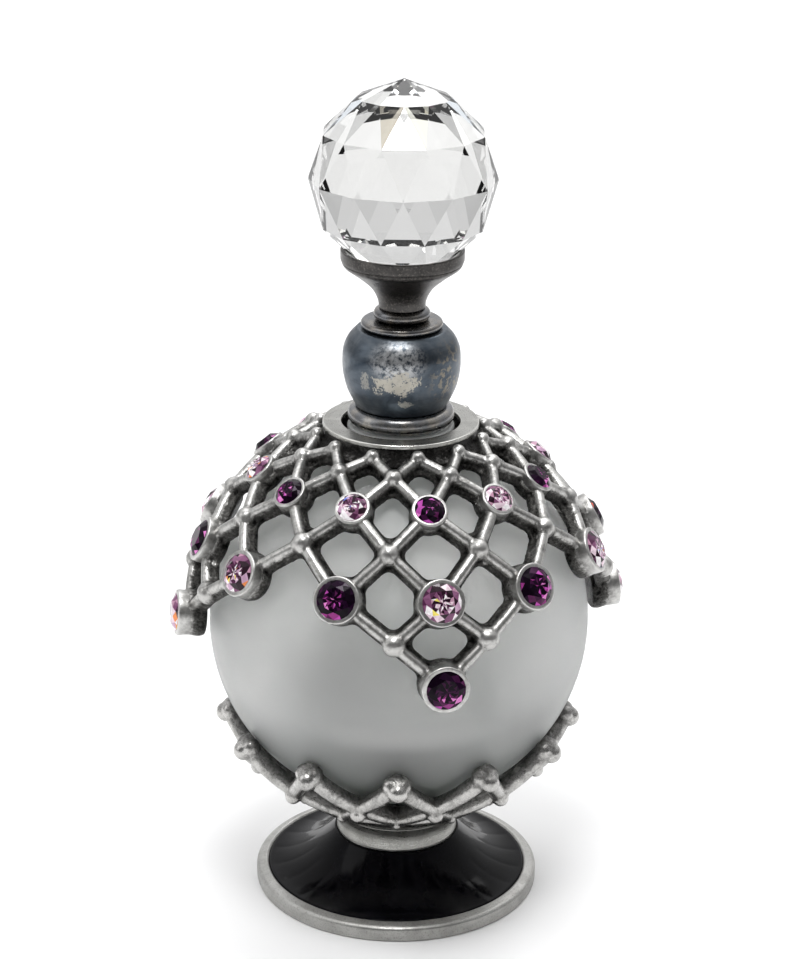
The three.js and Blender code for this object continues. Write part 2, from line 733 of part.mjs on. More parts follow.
const stopper = new THREE.Group();
stopper.add(
  piece('seal_washer', sealWasher(), 'silicone'),
  piece('stopper_plug', stopperPlug(), 'polyethylene'),
  piece('stopper_core', stopperCore(), 'brass'),
  piece('dabber_rod', dabberRod(), 'crystal'),
  piece('bulb_base_ring', bulbBaseRing(), 'polished'),
  piece('stopper_bulb', stopperBulb(), 'bulb'),
  piece('step_ring', stepRing(), 'polished'),
  piece('upper_bead_ring', upperBeadRing(), 'polished'),
  piece('finial_cup', finialCup(), 'gunmetal'),
  piece('stack_screw', stackScrew(), 'steel'),
  piece('crystal_ball', crystalBall(), 'crystal'),
);

const perfumeBottle = new THREE.Group();
perfumeBottle.add(foot, bottle, stopper);

export default perfumeBottle;
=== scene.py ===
import math
import random
from collections import namedtuple

import bmesh
import bpy
import numpy as np
from mathutils import Matrix, Vector


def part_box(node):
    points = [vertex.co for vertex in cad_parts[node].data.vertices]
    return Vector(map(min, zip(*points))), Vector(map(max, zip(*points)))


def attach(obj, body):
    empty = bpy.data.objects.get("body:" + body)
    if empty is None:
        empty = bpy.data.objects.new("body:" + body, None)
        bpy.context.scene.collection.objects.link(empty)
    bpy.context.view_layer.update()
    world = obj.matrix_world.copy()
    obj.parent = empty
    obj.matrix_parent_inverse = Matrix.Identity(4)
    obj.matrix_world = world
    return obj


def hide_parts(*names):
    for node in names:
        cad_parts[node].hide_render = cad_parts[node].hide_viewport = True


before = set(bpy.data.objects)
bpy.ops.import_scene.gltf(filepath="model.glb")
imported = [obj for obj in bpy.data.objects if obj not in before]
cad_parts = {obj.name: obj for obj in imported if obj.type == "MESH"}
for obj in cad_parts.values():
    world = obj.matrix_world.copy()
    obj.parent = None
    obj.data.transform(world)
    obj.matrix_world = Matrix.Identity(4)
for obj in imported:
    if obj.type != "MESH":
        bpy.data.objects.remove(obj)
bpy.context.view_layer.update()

MM = 0.001


# ---- sizes from the frame ----

def low_mm(node):
    return [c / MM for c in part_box(node)[0]]


def high_mm(node):
    return [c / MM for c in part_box(node)[1]]


def radius_mm(node):
    return max(abs(c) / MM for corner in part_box(node) for c in list(corner)[:2])


COLUMNS = 12
COLUMN_STEP = 360 / COLUMNS
GLOBE_R = 32.7
GLOBE_Z = 50.3
LIP_Z = high_mm("glass_globe")[2]
BALL_R = radius_mm("crystal_ball")
BALL_Z = low_mm("crystal_ball")[2] + BALL_R
BALL_CROWN = high_mm("crystal_ball")[2] - BALL_Z
FOOT_R = radius_mm("foot_base")
COLLAR_BOTTOM = low_mm("foot_collar")[2]
COLLAR_TOP = high_mm("foot_collar")[2]
RIM_Z = high_mm("finial_cup")[2]
SEAT_R = BALL_R / 2 + 1.2  # the cup's rim, round the ball's foot
CAP_TURN = 11.5  # longitude of the front gem column
FESTOON_COLUMNS = 3
GLOBE_CENTRE = np.array([0, 0, GLOBE_Z])


# ---- directions and meshes ----

def direction(latitude, longitude):
    """Unit vector from the globe's centre. Longitude 0 is the front, -Y, and grows towards +X."""
    la, lo = math.radians(latitude), math.radians(longitude)
    return np.array([math.cos(la) * math.sin(lo), -math.cos(la) * math.cos(lo), math.sin(la)])


def on_globe(latitude, longitude, distance):
    return GLOBE_CENTRE + distance * direction(latitude, longitude)


def basis(outward):
    """Two unit vectors across `outward`, the first level, the second towards the top."""
    level = np.cross([0, 0, 1], outward)
    level /= np.linalg.norm(level)
    return level, np.cross(outward, level)


def revolve(profile, sides=128, shape=None):
    """Vertices and faces of a turned piece from its outline of (r, z) points, which goes up the
    outside. An outline that doesn't both start and end on the axis is closed on itself."""
    closed = not (profile[0][0] == 0 and profile[-1][0] == 0)
    angles = np.arange(sides) * 2 * math.pi / sides
    verts, rings = [], []
    for r, z in profile:
        if r == 0:
            rings.append([len(verts)] * sides)
            verts.append((0, 0, z))
            continue
        rings.append(list(range(len(verts), len(verts) + sides)))
        for a in angles:
            up = shape(r, z, a) if shape else 0
            verts.append((r * math.sin(a), -r * math.cos(a), z + up))
    pairs = list(zip(rings, rings[1:]))
    if closed:
        pairs.append((rings[-1], rings[0]))
    faces = []
    for below, above in pairs:
        for i in range(sides):
            j = (i + 1) % sides
            corners = [below[i], below[j], above[j], above[i]]
            corners = [c for n, c in enumerate(corners) if c != corners[n - 1]]
            if len(set(corners)) > 2:
                faces.append(corners)
    return np.array(verts, float), faces


def filleted(points, radius=0.3, steps=4):
    """An outline with its corners rounded; a point may carry its own radius as a third number."""
    points = [tuple(p) for p in points]
    closed = not (points[0][0] == 0 and points[-1][0] == 0)
    out = []
    for i, point in enumerate(points):
        here = np.array(point[:2], float)
        r = point[2] if len(point) > 2 else radius
        if (not closed and i in (0, len(points) - 1)) or r == 0:
            out.append(tuple(here))
            continue
        before = np.array(points[i - 1][:2], float)
        after = np.array(points[(i + 1) % len(points)][:2], float)
        a, b = before - here, after - here
        la, lb = np.linalg.norm(a), np.linalg.norm(b)
        a, b = a / la, b / lb
        cut = min(r, 0.45 * la, 0.45 * lb)
        start, end = here + a * cut, here + b * cut
        for s in range(steps + 1):
            t = s / steps
            out.append(tuple((1 - t) ** 2 * start + 2 * t * (1 - t) * here + t ** 2 * end))
    return out


def smooth_line(points, steps=6):
    """A Catmull-Rom curve through (r, z) points, ends included."""
    p = [np.array(q, float) for q in points]
    p = [2 * p[0] - p[1], *p, 2 * p[-1] - p[-2]]
    out = []
    for i in range(1, len(p) - 2):
        for s in range(steps):
            t = s / steps
            out.append(tuple(0.5 * (
                2 * p[i] + (p[i + 1] - p[i - 1]) * t
                + (2 * p[i - 1] - 5 * p[i] + 4 * p[i + 1] - p[i + 2]) * t ** 2
                + (3 * p[i] - 3 * p[i + 1] + p[i + 2] - p[i - 1]) * t ** 3)))
    return [*out, tuple(p[-2])]


def arc(centre_z, radius, start, end, steps):
    """Outline points of an arc about a centre on the axis, between two latitudes."""
    angles = np.radians(np.linspace(start, end, steps + 1))
    return [(radius * math.cos(a), centre_z + radius * math.sin(a)) for a in angles]


def placed(verts, outward, origin):
    """Vertices made along +Z, turned so that +Z points along `outward`, from `origin`."""
    level, up = basis(outward)
    return origin + verts[:, :1] * level + verts[:, 1:2] * up + verts[:, 2:] * outward


def stood(profile, outward, sides):
    """A turned solid that stands along `outward`, with its outline's z measured from the globe's
    centre."""
    verts, faces = revolve(profile, sides)
    return placed(verts, outward, GLOBE_CENTRE), faces


def ball(centre, radius, rings=10, sides=16):
    profile = [(0, -radius), *arc(0, radius, -90, 90, rings)[1:-1], (0, radius)]
    verts, faces = revolve(profile, sides)
    return verts + centre, faces


def sweep(points, normals, section):
    """A closed bar along `points` with a section of (across, outward) corners, anticlockwise seen
    from its end."""
    points, normals = np.array(points), np.array(normals)
    along = np.gradient(points, axis=0)
    along /= np.linalg.norm(along, axis=1)[:, None]
    across = np.cross(along, normals)
    across /= np.linalg.norm(across, axis=1)[:, None]
    outward = np.cross(across, along)
    section = np.array(section)
    n, m = len(points), len(section)
    verts = (points[:, None] + section[None, :, :1] * across[:, None]
             + section[None, :, 1:] * outward[:, None]).reshape(-1, 3)
    faces = [[i * m + k, i * m + (k + 1) % m, (i + 1) * m + (k + 1) % m, (i + 1) * m + k]
             for i in range(n - 1) for k in range(m)]
    faces += [list(range(m))[::-1], [(n - 1) * m + k for k in range(m)]]
    return verts, faces


def merged(parts):
    """One vertex array and face list from several."""
    verts, faces, start = [], [], 0
    for v, f in parts:
        verts.append(v)
        faces += [[i + start for i in face] for face in f]
        start += len(v)
    return np.concatenate(verts), faces


def make_object(name, verts, faces):
    mesh = bpy.data.meshes.new(name)
    mesh.from_pydata([tuple(v) for v in np.asarray(verts) * MM], [], faces)
    bm = bmesh.new()
    bm.from_mesh(mesh)
    bmesh.ops.recalc_face_normals(bm, faces=bm.faces)
    bm.to_mesh(mesh)
    bm.free()
    obj = bpy.data.objects.new(name, mesh)
    bpy.context.scene.collection.objects.link(obj)
    return obj


def finish_piece(obj, material, body, nodes, smooth=True):
    """Gives a piece its material and body, and hides the CAD nodes that it stands for."""
    obj.data.materials.append(material)
    obj.data.polygons.foreach_set("use_smooth", [smooth] * len(obj.data.polygons))
    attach(obj, body)
    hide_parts(*nodes)


def turned_piece(name, profile, material, body, nodes, sides=128, shape=None):
    obj = make_object(name, *revolve(profile, sides, shape))
    finish_piece(obj, material, body, nodes)
    normals = obj.modifiers.new("normals", "WEIGHTED_NORMAL")
    normals.weight = 60


def apply_modifiers(obj):
    depsgraph = bpy.context.evaluated_depsgraph_get()
    mesh = bpy.data.meshes.new_from_object(obj.evaluated_get(depsgraph))
    obj.modifiers.clear()
    obj.data = mesh


def cast(name, parts, voxel, smooth, most_faces):
    """Overlapping solids melted into one casting with soft inside corners."""
    obj = make_object(name + "_raw", *merged(parts))
    remesh = obj.modifiers.new("remesh", "REMESH")
    remesh.mode = "VOXEL"
    remesh.voxel_size = voxel * MM * 1
    soften = obj.modifiers.new("soften", "SMOOTH")
    soften.factor = 0.5
    soften.iterations = smooth
    apply_modifiers(obj)
    obj.name = obj.data.name = name
    faces = 2 * len(obj.data.polygons)
    if faces > most_faces:
        thin = obj.modifiers.new("thin", "DECIMATE")
        thin.ratio = most_faces / faces
        apply_modifiers(obj)
    return obj


def paint_facets(obj, attribute, colours):
    """Gives each face its own colour, which its material reads from `attribute`."""
    layer = obj.data.color_attributes.new(attribute, "FLOAT_COLOR", "CORNER")
    for polygon, colour in zip(obj.data.polygons, colours):
        for corner in polygon.loop_indices:
            layer.data[corner].color = (*colour, 1)


# ---- materials ----

class Shader:
    """A material's node tree, with short names for the nodes used here."""

    def __init__(self, name, **sockets):
        self.material = bpy.data.materials.new(name)
        self.material.use_nodes = True
        self.nodes = self.material.node_tree.nodes
        self.links = self.material.node_tree.links
        self.bsdf = next(n for n in self.nodes if n.type == "BSDF_PRINCIPLED")
        for socket, value in sockets.items():
            self.set(socket.replace("_", " "), value)

    def feed(self, socket, value):
        """Joins a node's output to a socket, or gives the socket a plain value or colour."""
        if hasattr(value, "is_output"):
            self.links.new(value, socket)
        else:
            socket.default_value = (*value, 1) if socket.type == "RGBA" else value

    def set(self, socket, value):
        names = {i.name.lower(): i for i in self.bsdf.inputs}
        self.feed(names[socket.lower()], value)

    def finish(self, colour, roughness, bump=None):
        """Joins up the material's colour, roughness and bump, and gives the material back."""
        self.set("Base Color", colour)
        self.set("Roughness", roughness)
        if bump:
            self.set("Normal", bump)
        return self.material

    def node(self, kind, inputs=(), **settings):
        node = self.nodes.new(kind)
        for key, value in settings.items():
            setattr(node, key, value)
        for key, value in dict(inputs).items():
            self.feed(node.inputs[key], value)
        return node

    def place(self):
        """Object coordinates in metres."""
        return self.node("ShaderNodeTexCoord").outputs["Object"]

    def noise(self, scale, detail=3, roughness=0.5, vector=None, distortion=0.0):
        node = self.node("ShaderNodeTexNoise", {"Vector": vector or self.place(), "Scale": scale,
                                                "Detail": detail, "Roughness": roughness,
                                                "Distortion": distortion})
        return node.outputs["Fac"]

    def range(self, value, low, high, to_low=0.0, to_high=1.0, smooth=True):
        node = self.node("ShaderNodeMapRange", {"Value": value, "From Min": low, "From Max": high,
                                                "To Min": to_low, "To Max": to_high},
                         interpolation_type="SMOOTHSTEP" if smooth else "LINEAR")
        return node.outputs["Result"]

    def math(self, operation, a, b=0.0):
        return self.node("ShaderNodeMath", {0: a, 1: b}, operation=operation).outputs[0]

    def add(self, a, b):
        return self.math("ADD", a, b)

    def times(self, a, b):
        return self.math("MULTIPLY", a, b)

    def mix(self, share, a, b, blend="MIX"):
        return self.node("ShaderNodeMix", {0: share, 6: a, 7: b}, data_type="RGBA",
                         blend_type=blend).outputs[2]

    def ramp(self, value, stops):
        node = self.node("ShaderNodeValToRGB", {"Fac": value})
        elements = node.color_ramp.elements
        while len(elements) < len(stops):
            elements.new(0.5)
        for element, (position, colour) in zip(elements, stops):
            element.position = position
            element.color = (*colour, 1)
        return node.outputs["Color"]

    def bump(self, height, strength, distance, under=None):
        inputs = {"Height": height, "Strength": strength, "Distance": distance * MM}
        if under is not None:
            inputs["Normal"] = under
        return self.node("ShaderNodeBump", inputs).outputs["Normal"]

    def from_point(self, point_mm, squash=(1, 1, 1)):
        """Distance in metres from a point given in millimetres; `squash` flattens the spheres."""
        offset = self.node("ShaderNodeVectorMath", {0: self.place(), 1: tuple(c * MM for c in point_mm)},
                           operation="SUBTRACT").outputs[0]
        offset = self.node("ShaderNodeVectorMath", {0: offset, 1: squash}, operation="MULTIPLY").outputs[0]
        return self.node("ShaderNodeVectorMath", {0: offset}, operation="LENGTH").outputs["Value"]

    def height(self):
        """Height above the ground in metres."""
        return self.node("ShaderNodeSeparateXYZ", {0: self.place()}).outputs[2]

    def edges(self):
        """0 in hollows, 1 on edges that stand out."""
        pointiness = self.node("ShaderNodeNewGeometry").outputs["Pointiness"]
        return self.range(pointiness, 0.44, 0.56, smooth=False)

    def turned_place(self, stretch=1.0):
        """Coordinates that change only across a lathe's tool marks: (radius, height, 0)."""
        xyz = self.node("ShaderNodeSeparateXYZ", {0: self.place()})
        x, y, z = (xyz.outputs[i] for i in range(3))
        flat = self.node("ShaderNodeCombineXYZ", {0: x, 1: y, 2: 0.0}).outputs[0]
        radius = self.node("ShaderNodeVectorMath", {0: flat}, operation="LENGTH").outputs["Value"]
        angle = self.times(self.math("ARCTAN2", x, y), 0.001 * stretch)
        return self.node("ShaderNodeCombineXYZ", {0: radius, 1: z, 2: angle}).outputs[0]


def pewter(name, tones, depths_mm, grain, rough, by_depth=0.55):
    """Antiqued pewter: oxide left in the recesses, rubbed bright on what stands proud. `tones` are its
    dark, middle and bright colours, and `depths_mm` the distances from the globe's centre at which it
    is at its darkest and brightest. `by_depth` is the share of the wear that depth decides, not edges."""
    dark, middle, bright = tones
    s = Shader(name, metallic=1.0)
    depth = s.range(s.from_point((0, 0, GLOBE_Z)), *(d * MM for d in depths_mm))
    wear = s.add(s.times(depth, by_depth), s.times(s.edges(), 1.08 - by_depth))
    wear = s.add(wear, s.range(s.noise(420, 4, 0.6), 0.3, 0.7, -0.14, 0.14))
    wear = s.add(wear, s.range(s.noise(1900, 3, 0.7), 0.35, 0.65, -0.09 * grain, 0.09 * grain))
    fine = s.noise(5200, 3, 0.65)
    hollows = s.times(s.noise(1150, 4, 0.65), s.range(wear, 0.3, 0.75, 1.0, 0.12))
    pits = s.bump(s.noise(1500, 4, 0.6), 0.35, 0.12 * grain, s.bump(hollows, 0.7, 0.45 * grain))
    return s.finish(
        s.ramp(wear, [(0.14, dark), (0.52, middle), (0.95, bright)]),
        s.add(s.range(wear, 0.1, 0.9, rough + 0.16, rough), s.range(fine, 0.3, 0.7, -0.05, 0.05)),
        s.bump(fine, 0.25, 0.05 * grain, pits))


def satin(name, colour, stain, rough, grain=1.0, edge_gain=2.1):
    """Satin pewter with the lathe's fine rings, a little tarnish, and edges brightened by the last argument
    times its colour:
    rubbed wear that also paints a highlight along the edges."""
    s = Shader(name, metallic=1.0)
    rings = s.noise(4200, 2, 0.6, s.turned_place(0.6))
    grains = s.noise(3600, 3, 0.6)
    cloud = s.range(s.noise(230, 4, 0.6), 0.35, 0.75)
    base = s.mix(s.times(cloud, 0.6), colour, stain)
    base = s.mix(s.range(grains, 0.5, 0.7, 0.0, 0.4 * grain), base, stain)
    # Edges brightened: partly rubbed wear, partly a painted highlight along them.
    rubbed = s.range(s.edges(), 0.62, 0.9)
    matt = s.range(rings, 0.25, 0.75, rough - 0.05, rough + 0.1)
    return s.finish(
        s.mix(rubbed, base, tuple(min(1.0, edge_gain * c) for c in colour)),
        s.add(matt, s.range(grains, 0.3, 0.7, -0.05, 0.05)),
        s.bump(grains, 0.4, 0.05 * grain, s.bump(rings, 0.35, 0.03)))


def polished(name, colour, stain, rough):
    """A polished ring, lightly clouded and scratched."""
    s = Shader(name, metallic=1.0)
    rings = s.noise(2600, 2, 0.7, s.turned_place(2.0))
    cloud = s.range(s.noise(330, 3, 0.6), 0.4, 0.7)
    return s.finish(s.mix(cloud, colour, stain), s.range(rings, 0.3, 0.7, rough - 0.05, rough + 0.1),
                    s.bump(rings, 0.15, 0.02))


BULB_PATCHES = (  # place, squash, reach and strength of each pale patch
    ((-0.8, -9.8, 95.3), (0.95, 1, 1.75), 3.6, 0.85),
    ((-6.0, -7.8, 95.2), (1.2, 1, 0.8), 1.15, 0.4),
    ((1.0, -9.6, 91.8), (0.9, 1, 1.5), 1.3, 0.4),
)


def bulb_patina():
    """Blue-grey patina, worn silvery at the top, where the silvery patch also paints the highlight, with
    pale patches and brown mottling.
    """
    s = Shader("bulb_patina", metallic=1.0)
    broad = s.noise(150, 4, 0.62, distortion=0.6)
    fine = s.noise(900, 4, 0.65)
    rings = s.noise(2200, 3, 0.7, s.turned_place(1.5))
    base = s.ramp(broad, [(0.3, (0.04, 0.052, 0.068)), (0.5, (0.085, 0.102, 0.122)),
                          (0.72, (0.14, 0.158, 0.176))])
    base = s.mix(s.range(rings, 0.5, 0.75, 0.0, 0.35), base, (0.03, 0.035, 0.042))
    near = s.range(s.from_point((8.4, -5.2, 96.2)), 6.5 * MM, 2 * MM)
    brown = s.times(near, s.range(fine, 0.5, 0.58))
    base = s.mix(s.times(brown, 0.8), base, (0.26, 0.23, 0.18))
    # Worn silvery metal at the front of the top, which also stands in for the lamp's highlight there: partly
    # wear, partly painted highlight.
    near = s.range(s.from_point((-0.6, -9.0, 99.0), (0.9, 1, 1.2)), 5.2 * MM, 1.5 * MM)
    worn_silver_and_highlight = s.times(near, s.range(s.noise(1500, 4, 0.7), 0.36, 0.6))
    base = s.mix(s.times(worn_silver_and_highlight, 0.85), base, (0.68, 0.69, 0.7))
    torn = s.noise(560, 5, 0.7)
    patch = 0.0
    for place, squash, reach_mm, strength in BULB_PATCHES:
        reach = reach_mm * MM
        ragged = s.range(torn, 0.3, 0.7, -0.45 * reach, 0.45 * reach)
        near = s.range(s.add(s.from_point(place, squash), ragged), reach, 0.8 * reach)
        patch = s.math("MAXIMUM", patch, s.times(near, strength))
    patch = s.times(patch, s.range(s.noise(1900, 3, 0.7), 0.36, 0.46))
    return s.finish(
        s.mix(patch, base, (0.56, 0.53, 0.46)),
        s.add(s.range(fine, 0.3, 0.7, 0.28, 0.42), s.times(patch, 0.2)),
        s.bump(fine, 0.35, 0.08, s.bump(rings, 0.3, 0.05)))


# Painted light and painted shade on the globe: soft patches of painted reflection and painted shadow.
PAINTED_LIGHT_AND_SHADE = (  # (latitude, longitude), squash, reach in mm, share and tone of each soft light or dark place
    ((-27, 2), (0.7, 1, 1.3), 12, 0.6, 0.4), ((-18, 46), (1, 1, 1.5), 11, 0.55, 0.45),
    ((3, -18), (0.9, 1, 1), 14, 0.6, 0.58), ((-10, -47), (1, 1, 1.3), 14, 0.9, 1.0),
    ((-15.5, 4), (0.5, 1, 3), 11, 0.95, 1.0), ((6, 48), (1, 1, 0.7), 15, 0.8, 1.0),
    ((2, 11.5), (1, 1, 1), 9, 0.9, 1.0), ((34, 14), (0.7, 1, 1), 17, 0.9, 1.0),
)


def frosted_glass():
    """Acid-frosted glass: hazy and a little cloudy, with painted shade that makes it greyer towards its
    foot, and painted patches of light and shade.
    """
    s = Shader("frosted_glass", ior=1.5, transmission_weight=0.8, metallic=0.0)
    cloud = s.noise(34, 3, 0.55, distortion=0.8)
    fine = s.noise(3800, 2, 0.5)
    base = s.mix(s.range(cloud, 0.32, 0.68), (0.76, 0.77, 0.76), (0.92, 0.925, 0.915))
    # Painted shade: the glass is darkened towards its foot, where the basket and foot shade it.
    base = s.mix(s.range(s.height(), 0.044, 0.024), base, (0.4, 0.425, 0.405))
    # paints the patches of light and shade listed above into the glass's colour
    for place, squash, reach, share, tone in PAINTED_LIGHT_AND_SHADE:
        painted_patch = s.range(s.from_point(tuple(on_globe(*place, GLOBE_R)), squash), reach * MM, 0)
        base = s.mix(s.times(painted_patch, share), base, (tone, tone, 0.99 * tone))
    return s.finish(base, s.range(fine, 0.3, 0.7, 0.48, 0.58), s.bump(fine, 0.25, 0.02))


def crystal():
    """Clear lead crystal. Each facet's colour carries a painted reflection: the light, shade and spectral
    colour that its cut shows.
    """
    s = Shader("cut_crystal", ior=1.56, transmission_weight=1.0)
    tone = s.node("ShaderNodeAttribute", attribute_name="tone").outputs["Color"]
    smear = s.noise(160, 3, 0.6)
    return s.finish(s.mix(s.range(smear, 0.35, 0.75, 0.0, 0.06), tone, (0.5, 0.5, 0.5)),
                    s.range(smear, 0.45, 0.8, 0.0, 0.02))


def clear_glass():
    s = Shader("drawn_glass", ior=1.5, transmission_weight=1.0)
    return s.finish((0.7, 0.77, 0.76), s.range(s.noise(300, 3, 0.6), 0.3, 0.7, 0.02, 0.08))


def gemstone(name, ior):
    """A foil-backed stone. Each facet's colour is the stone's colour with painted light and shade: painted
    shade on the deep facets, painted flashes of reflected light on the others.
    """
    s = Shader(name, metallic=0.1, ior=ior)
    facet_colour_and_light = s.node("ShaderNodeAttribute", attribute_name="facet_colour_and_light").outputs["Color"]
    specks = s.range(s.noise(1500, 2, 0.6), 0.35, 0.65, 0.82, 1.12)
    shade = s.ramp(specks, [(0.0, (0.0, 0.0, 0.0)), (1.0, (1.0, 1.0, 1.0))])
    return s.finish(s.mix(1.0, facet_colour_and_light, shade, "MULTIPLY"),
                    s.range(s.noise(2400, 2, 0.5), 0.3, 0.7, 0.04, 0.12))


def black_enamel():
    """Deep glossy enamel with a few dust motes and a very slight orange peel."""
    s = Shader("black_enamel", metallic=0.0, ior=1.17)
    motes = s.range(s.noise(200, 4, 0.6), 0.4, 0.75)
    return s.finish(
        s.mix(motes, (0.0015, 0.0015, 0.0025), (0.004, 0.004, 0.006)),
        s.range(s.noise(800, 3, 0.6), 0.3, 0.7, 0.08, 0.16),
        s.bump(s.noise(380, 2, 0.5), 0.12, 0.05))


def gunmetal():
    """Dark plate, grainy on the rim and smoother down the stem, with a bright seat for the ball."""
    s = Shader("gunmetal", metallic=1.0)
    speck = s.noise(3000, 4, 0.75)
    cloud = s.noise(300, 3, 0.6)
    base = s.ramp(cloud, [(0.3, (0.035, 0.034, 0.033)), (0.55, (0.065, 0.062, 0.06)),
                          (0.8, (0.11, 0.103, 0.097))])
    base = s.mix(s.range(speck, 0.5, 0.68, 0.0, 0.8), base, (0.17, 0.158, 0.145))
    normal = s.node("ShaderNodeNewGeometry").outputs["True Normal"]
    facing_up = s.node("ShaderNodeSeparateXYZ", {0: normal}).outputs[2]
    near = s.range(s.from_point((0, 0, RIM_Z)), (SEAT_R + 0.5) * MM, (SEAT_R + 0.3) * MM)
    seat = s.times(near, s.range(facing_up, 0.05, 0.2))
    return s.finish(s.mix(seat, base, (0.75, 0.75, 0.74)), s.range(speck, 0.3, 0.7, 0.26, 0.44),
                    s.bump(speck, 0.35, 0.06))


def moulded(name, colour, other, rough):
    """Plain moulded plastic or rubber, faintly mottled."""
    s = Shader(name, metallic=0.0)
    return s.finish(
        s.mix(s.range(s.noise(500, 3, 0.6), 0.35, 0.65), colour, other),
        s.range(s.noise(2500, 2, 0.5), 0.3, 0.7, rough - 0.06, rough + 0.06),
        s.bump(s.noise(3000, 2, 0.5), 0.2, 0.03))


CAP_PEWTER = pewter("antique_pewter", ((0.006, 0.0058, 0.0055), (0.092, 0.09, 0.085), (0.5, 0.495, 0.48)),
                    (34.9, 37.5), 1.1, 0.33)
BEZEL_PEWTER = pewter("bezel_pewter", ((0.02, 0.019, 0.018), (0.17, 0.166, 0.16), (0.56, 0.555, 0.54)),
                      (35.0, 38.2), 0.7, 0.34)
BASKET_PEWTER = pewter(
    "basket_pewter", ((0.035, 0.0343, 0.0326), (0.165, 0.162, 0.156), (0.51, 0.503, 0.488)),
    (31.8, 37.0), 0.9, 0.28, 0.6)
COLLAR_PEWTER = pewter(
    "collar_pewter", ((0.006, 0.006, 0.0055), (0.02, 0.0195, 0.0185), (0.09, 0.088, 0.085)),
    (34.0, 38.5), 1.4, 0.34, 0.3)
SATIN_PEWTER = satin("satin_pewter", (0.38, 0.378, 0.358), (0.19, 0.186, 0.174), 0.3)
RIM_PEWTER = satin("rim_pewter", (0.46, 0.457, 0.44), (0.24, 0.236, 0.224), 0.4, 1.7, 1.05)
RING_METAL = polished("ring_metal", (0.15, 0.154, 0.163), (0.26, 0.24, 0.215), 0.24)
BEAD_METAL = polished("bead_metal", (0.2, 0.204, 0.214), (0.36, 0.335, 0.3), 0.26)
GUNMETAL = gunmetal()
BULB_METAL = bulb_patina()
PLAIN_STEEL = polished("plain_steel", (0.42, 0.43, 0.44), (0.3, 0.3, 0.3), 0.3)
BRASS = polished("plain_brass", (0.62, 0.46, 0.2), (0.45, 0.32, 0.14), 0.26)
FROSTED = frosted_glass()
CRYSTAL = crystal()
DRAWN_GLASS = clear_glass()
ENAMEL = black_enamel()
PLUG_PLASTIC = moulded("polyethylene", (0.62, 0.63, 0.6), (0.53, 0.54, 0.51), 0.42)
SILICONE = moulded("silicone", (0.55, 0.57, 0.57), (0.47, 0.49, 0.49), 0.45)
DARK_STONE = gemstone("amethyst_stone", 1.22)
LIGHT_STONE = gemstone("lavender_stone", 1.4)


# ---- foot ----

ENAMEL_R = 22.7
ENAMEL_FOOT_Z = 2.95
COLLAR_R = 10.7
FLARE_POWER = 2.2
PETALS = 22
PETAL_DEPTH = 0.055
PETAL_START_R = 11.5
RING_R = 19.9  # inside of the ring that the foot stands on
RECESS_Z = 1.2
SCREW_HOLE_R = 2.2
SCREW_SINK_R = 3.95
SCREW_SINK_Z = 3.9
SCREW_HEAD_R = 3.68
SCREW_SHANK_R = 1.93
SCREW_TOP_Z = 16.78


def flare_z(r):
    share = (r - COLLAR_R) / (ENAMEL_R - COLLAR_R)
    return ENAMEL_FOOT_Z + (COLLAR_BOTTOM - ENAMEL_FOOT_Z) * max(0.0, 1 - share) ** FLARE_POWER


def petal_relief(r, z, angle):
    """Shallow petals under the enamel, with rounded tops near the collar."""
    if r < PETAL_START_R or r > ENAMEL_R - 0.15 or z < ENAMEL_FOOT_Z - 0.55:
        return 0
    share = (r - PETAL_START_R) / (ENAMEL_R - PETAL_START_R)
    across = abs(((angle * PETALS / (2 * math.pi)) % 1) - 0.5) * 2
    top = min(1.0, max(0.0, (share - 0.16 - 0.07 * across ** 2) / 0.08))
    end = min(1.0, (1 - share) / 0.12)
    return -PETAL_DEPTH * top * end * across ** 3


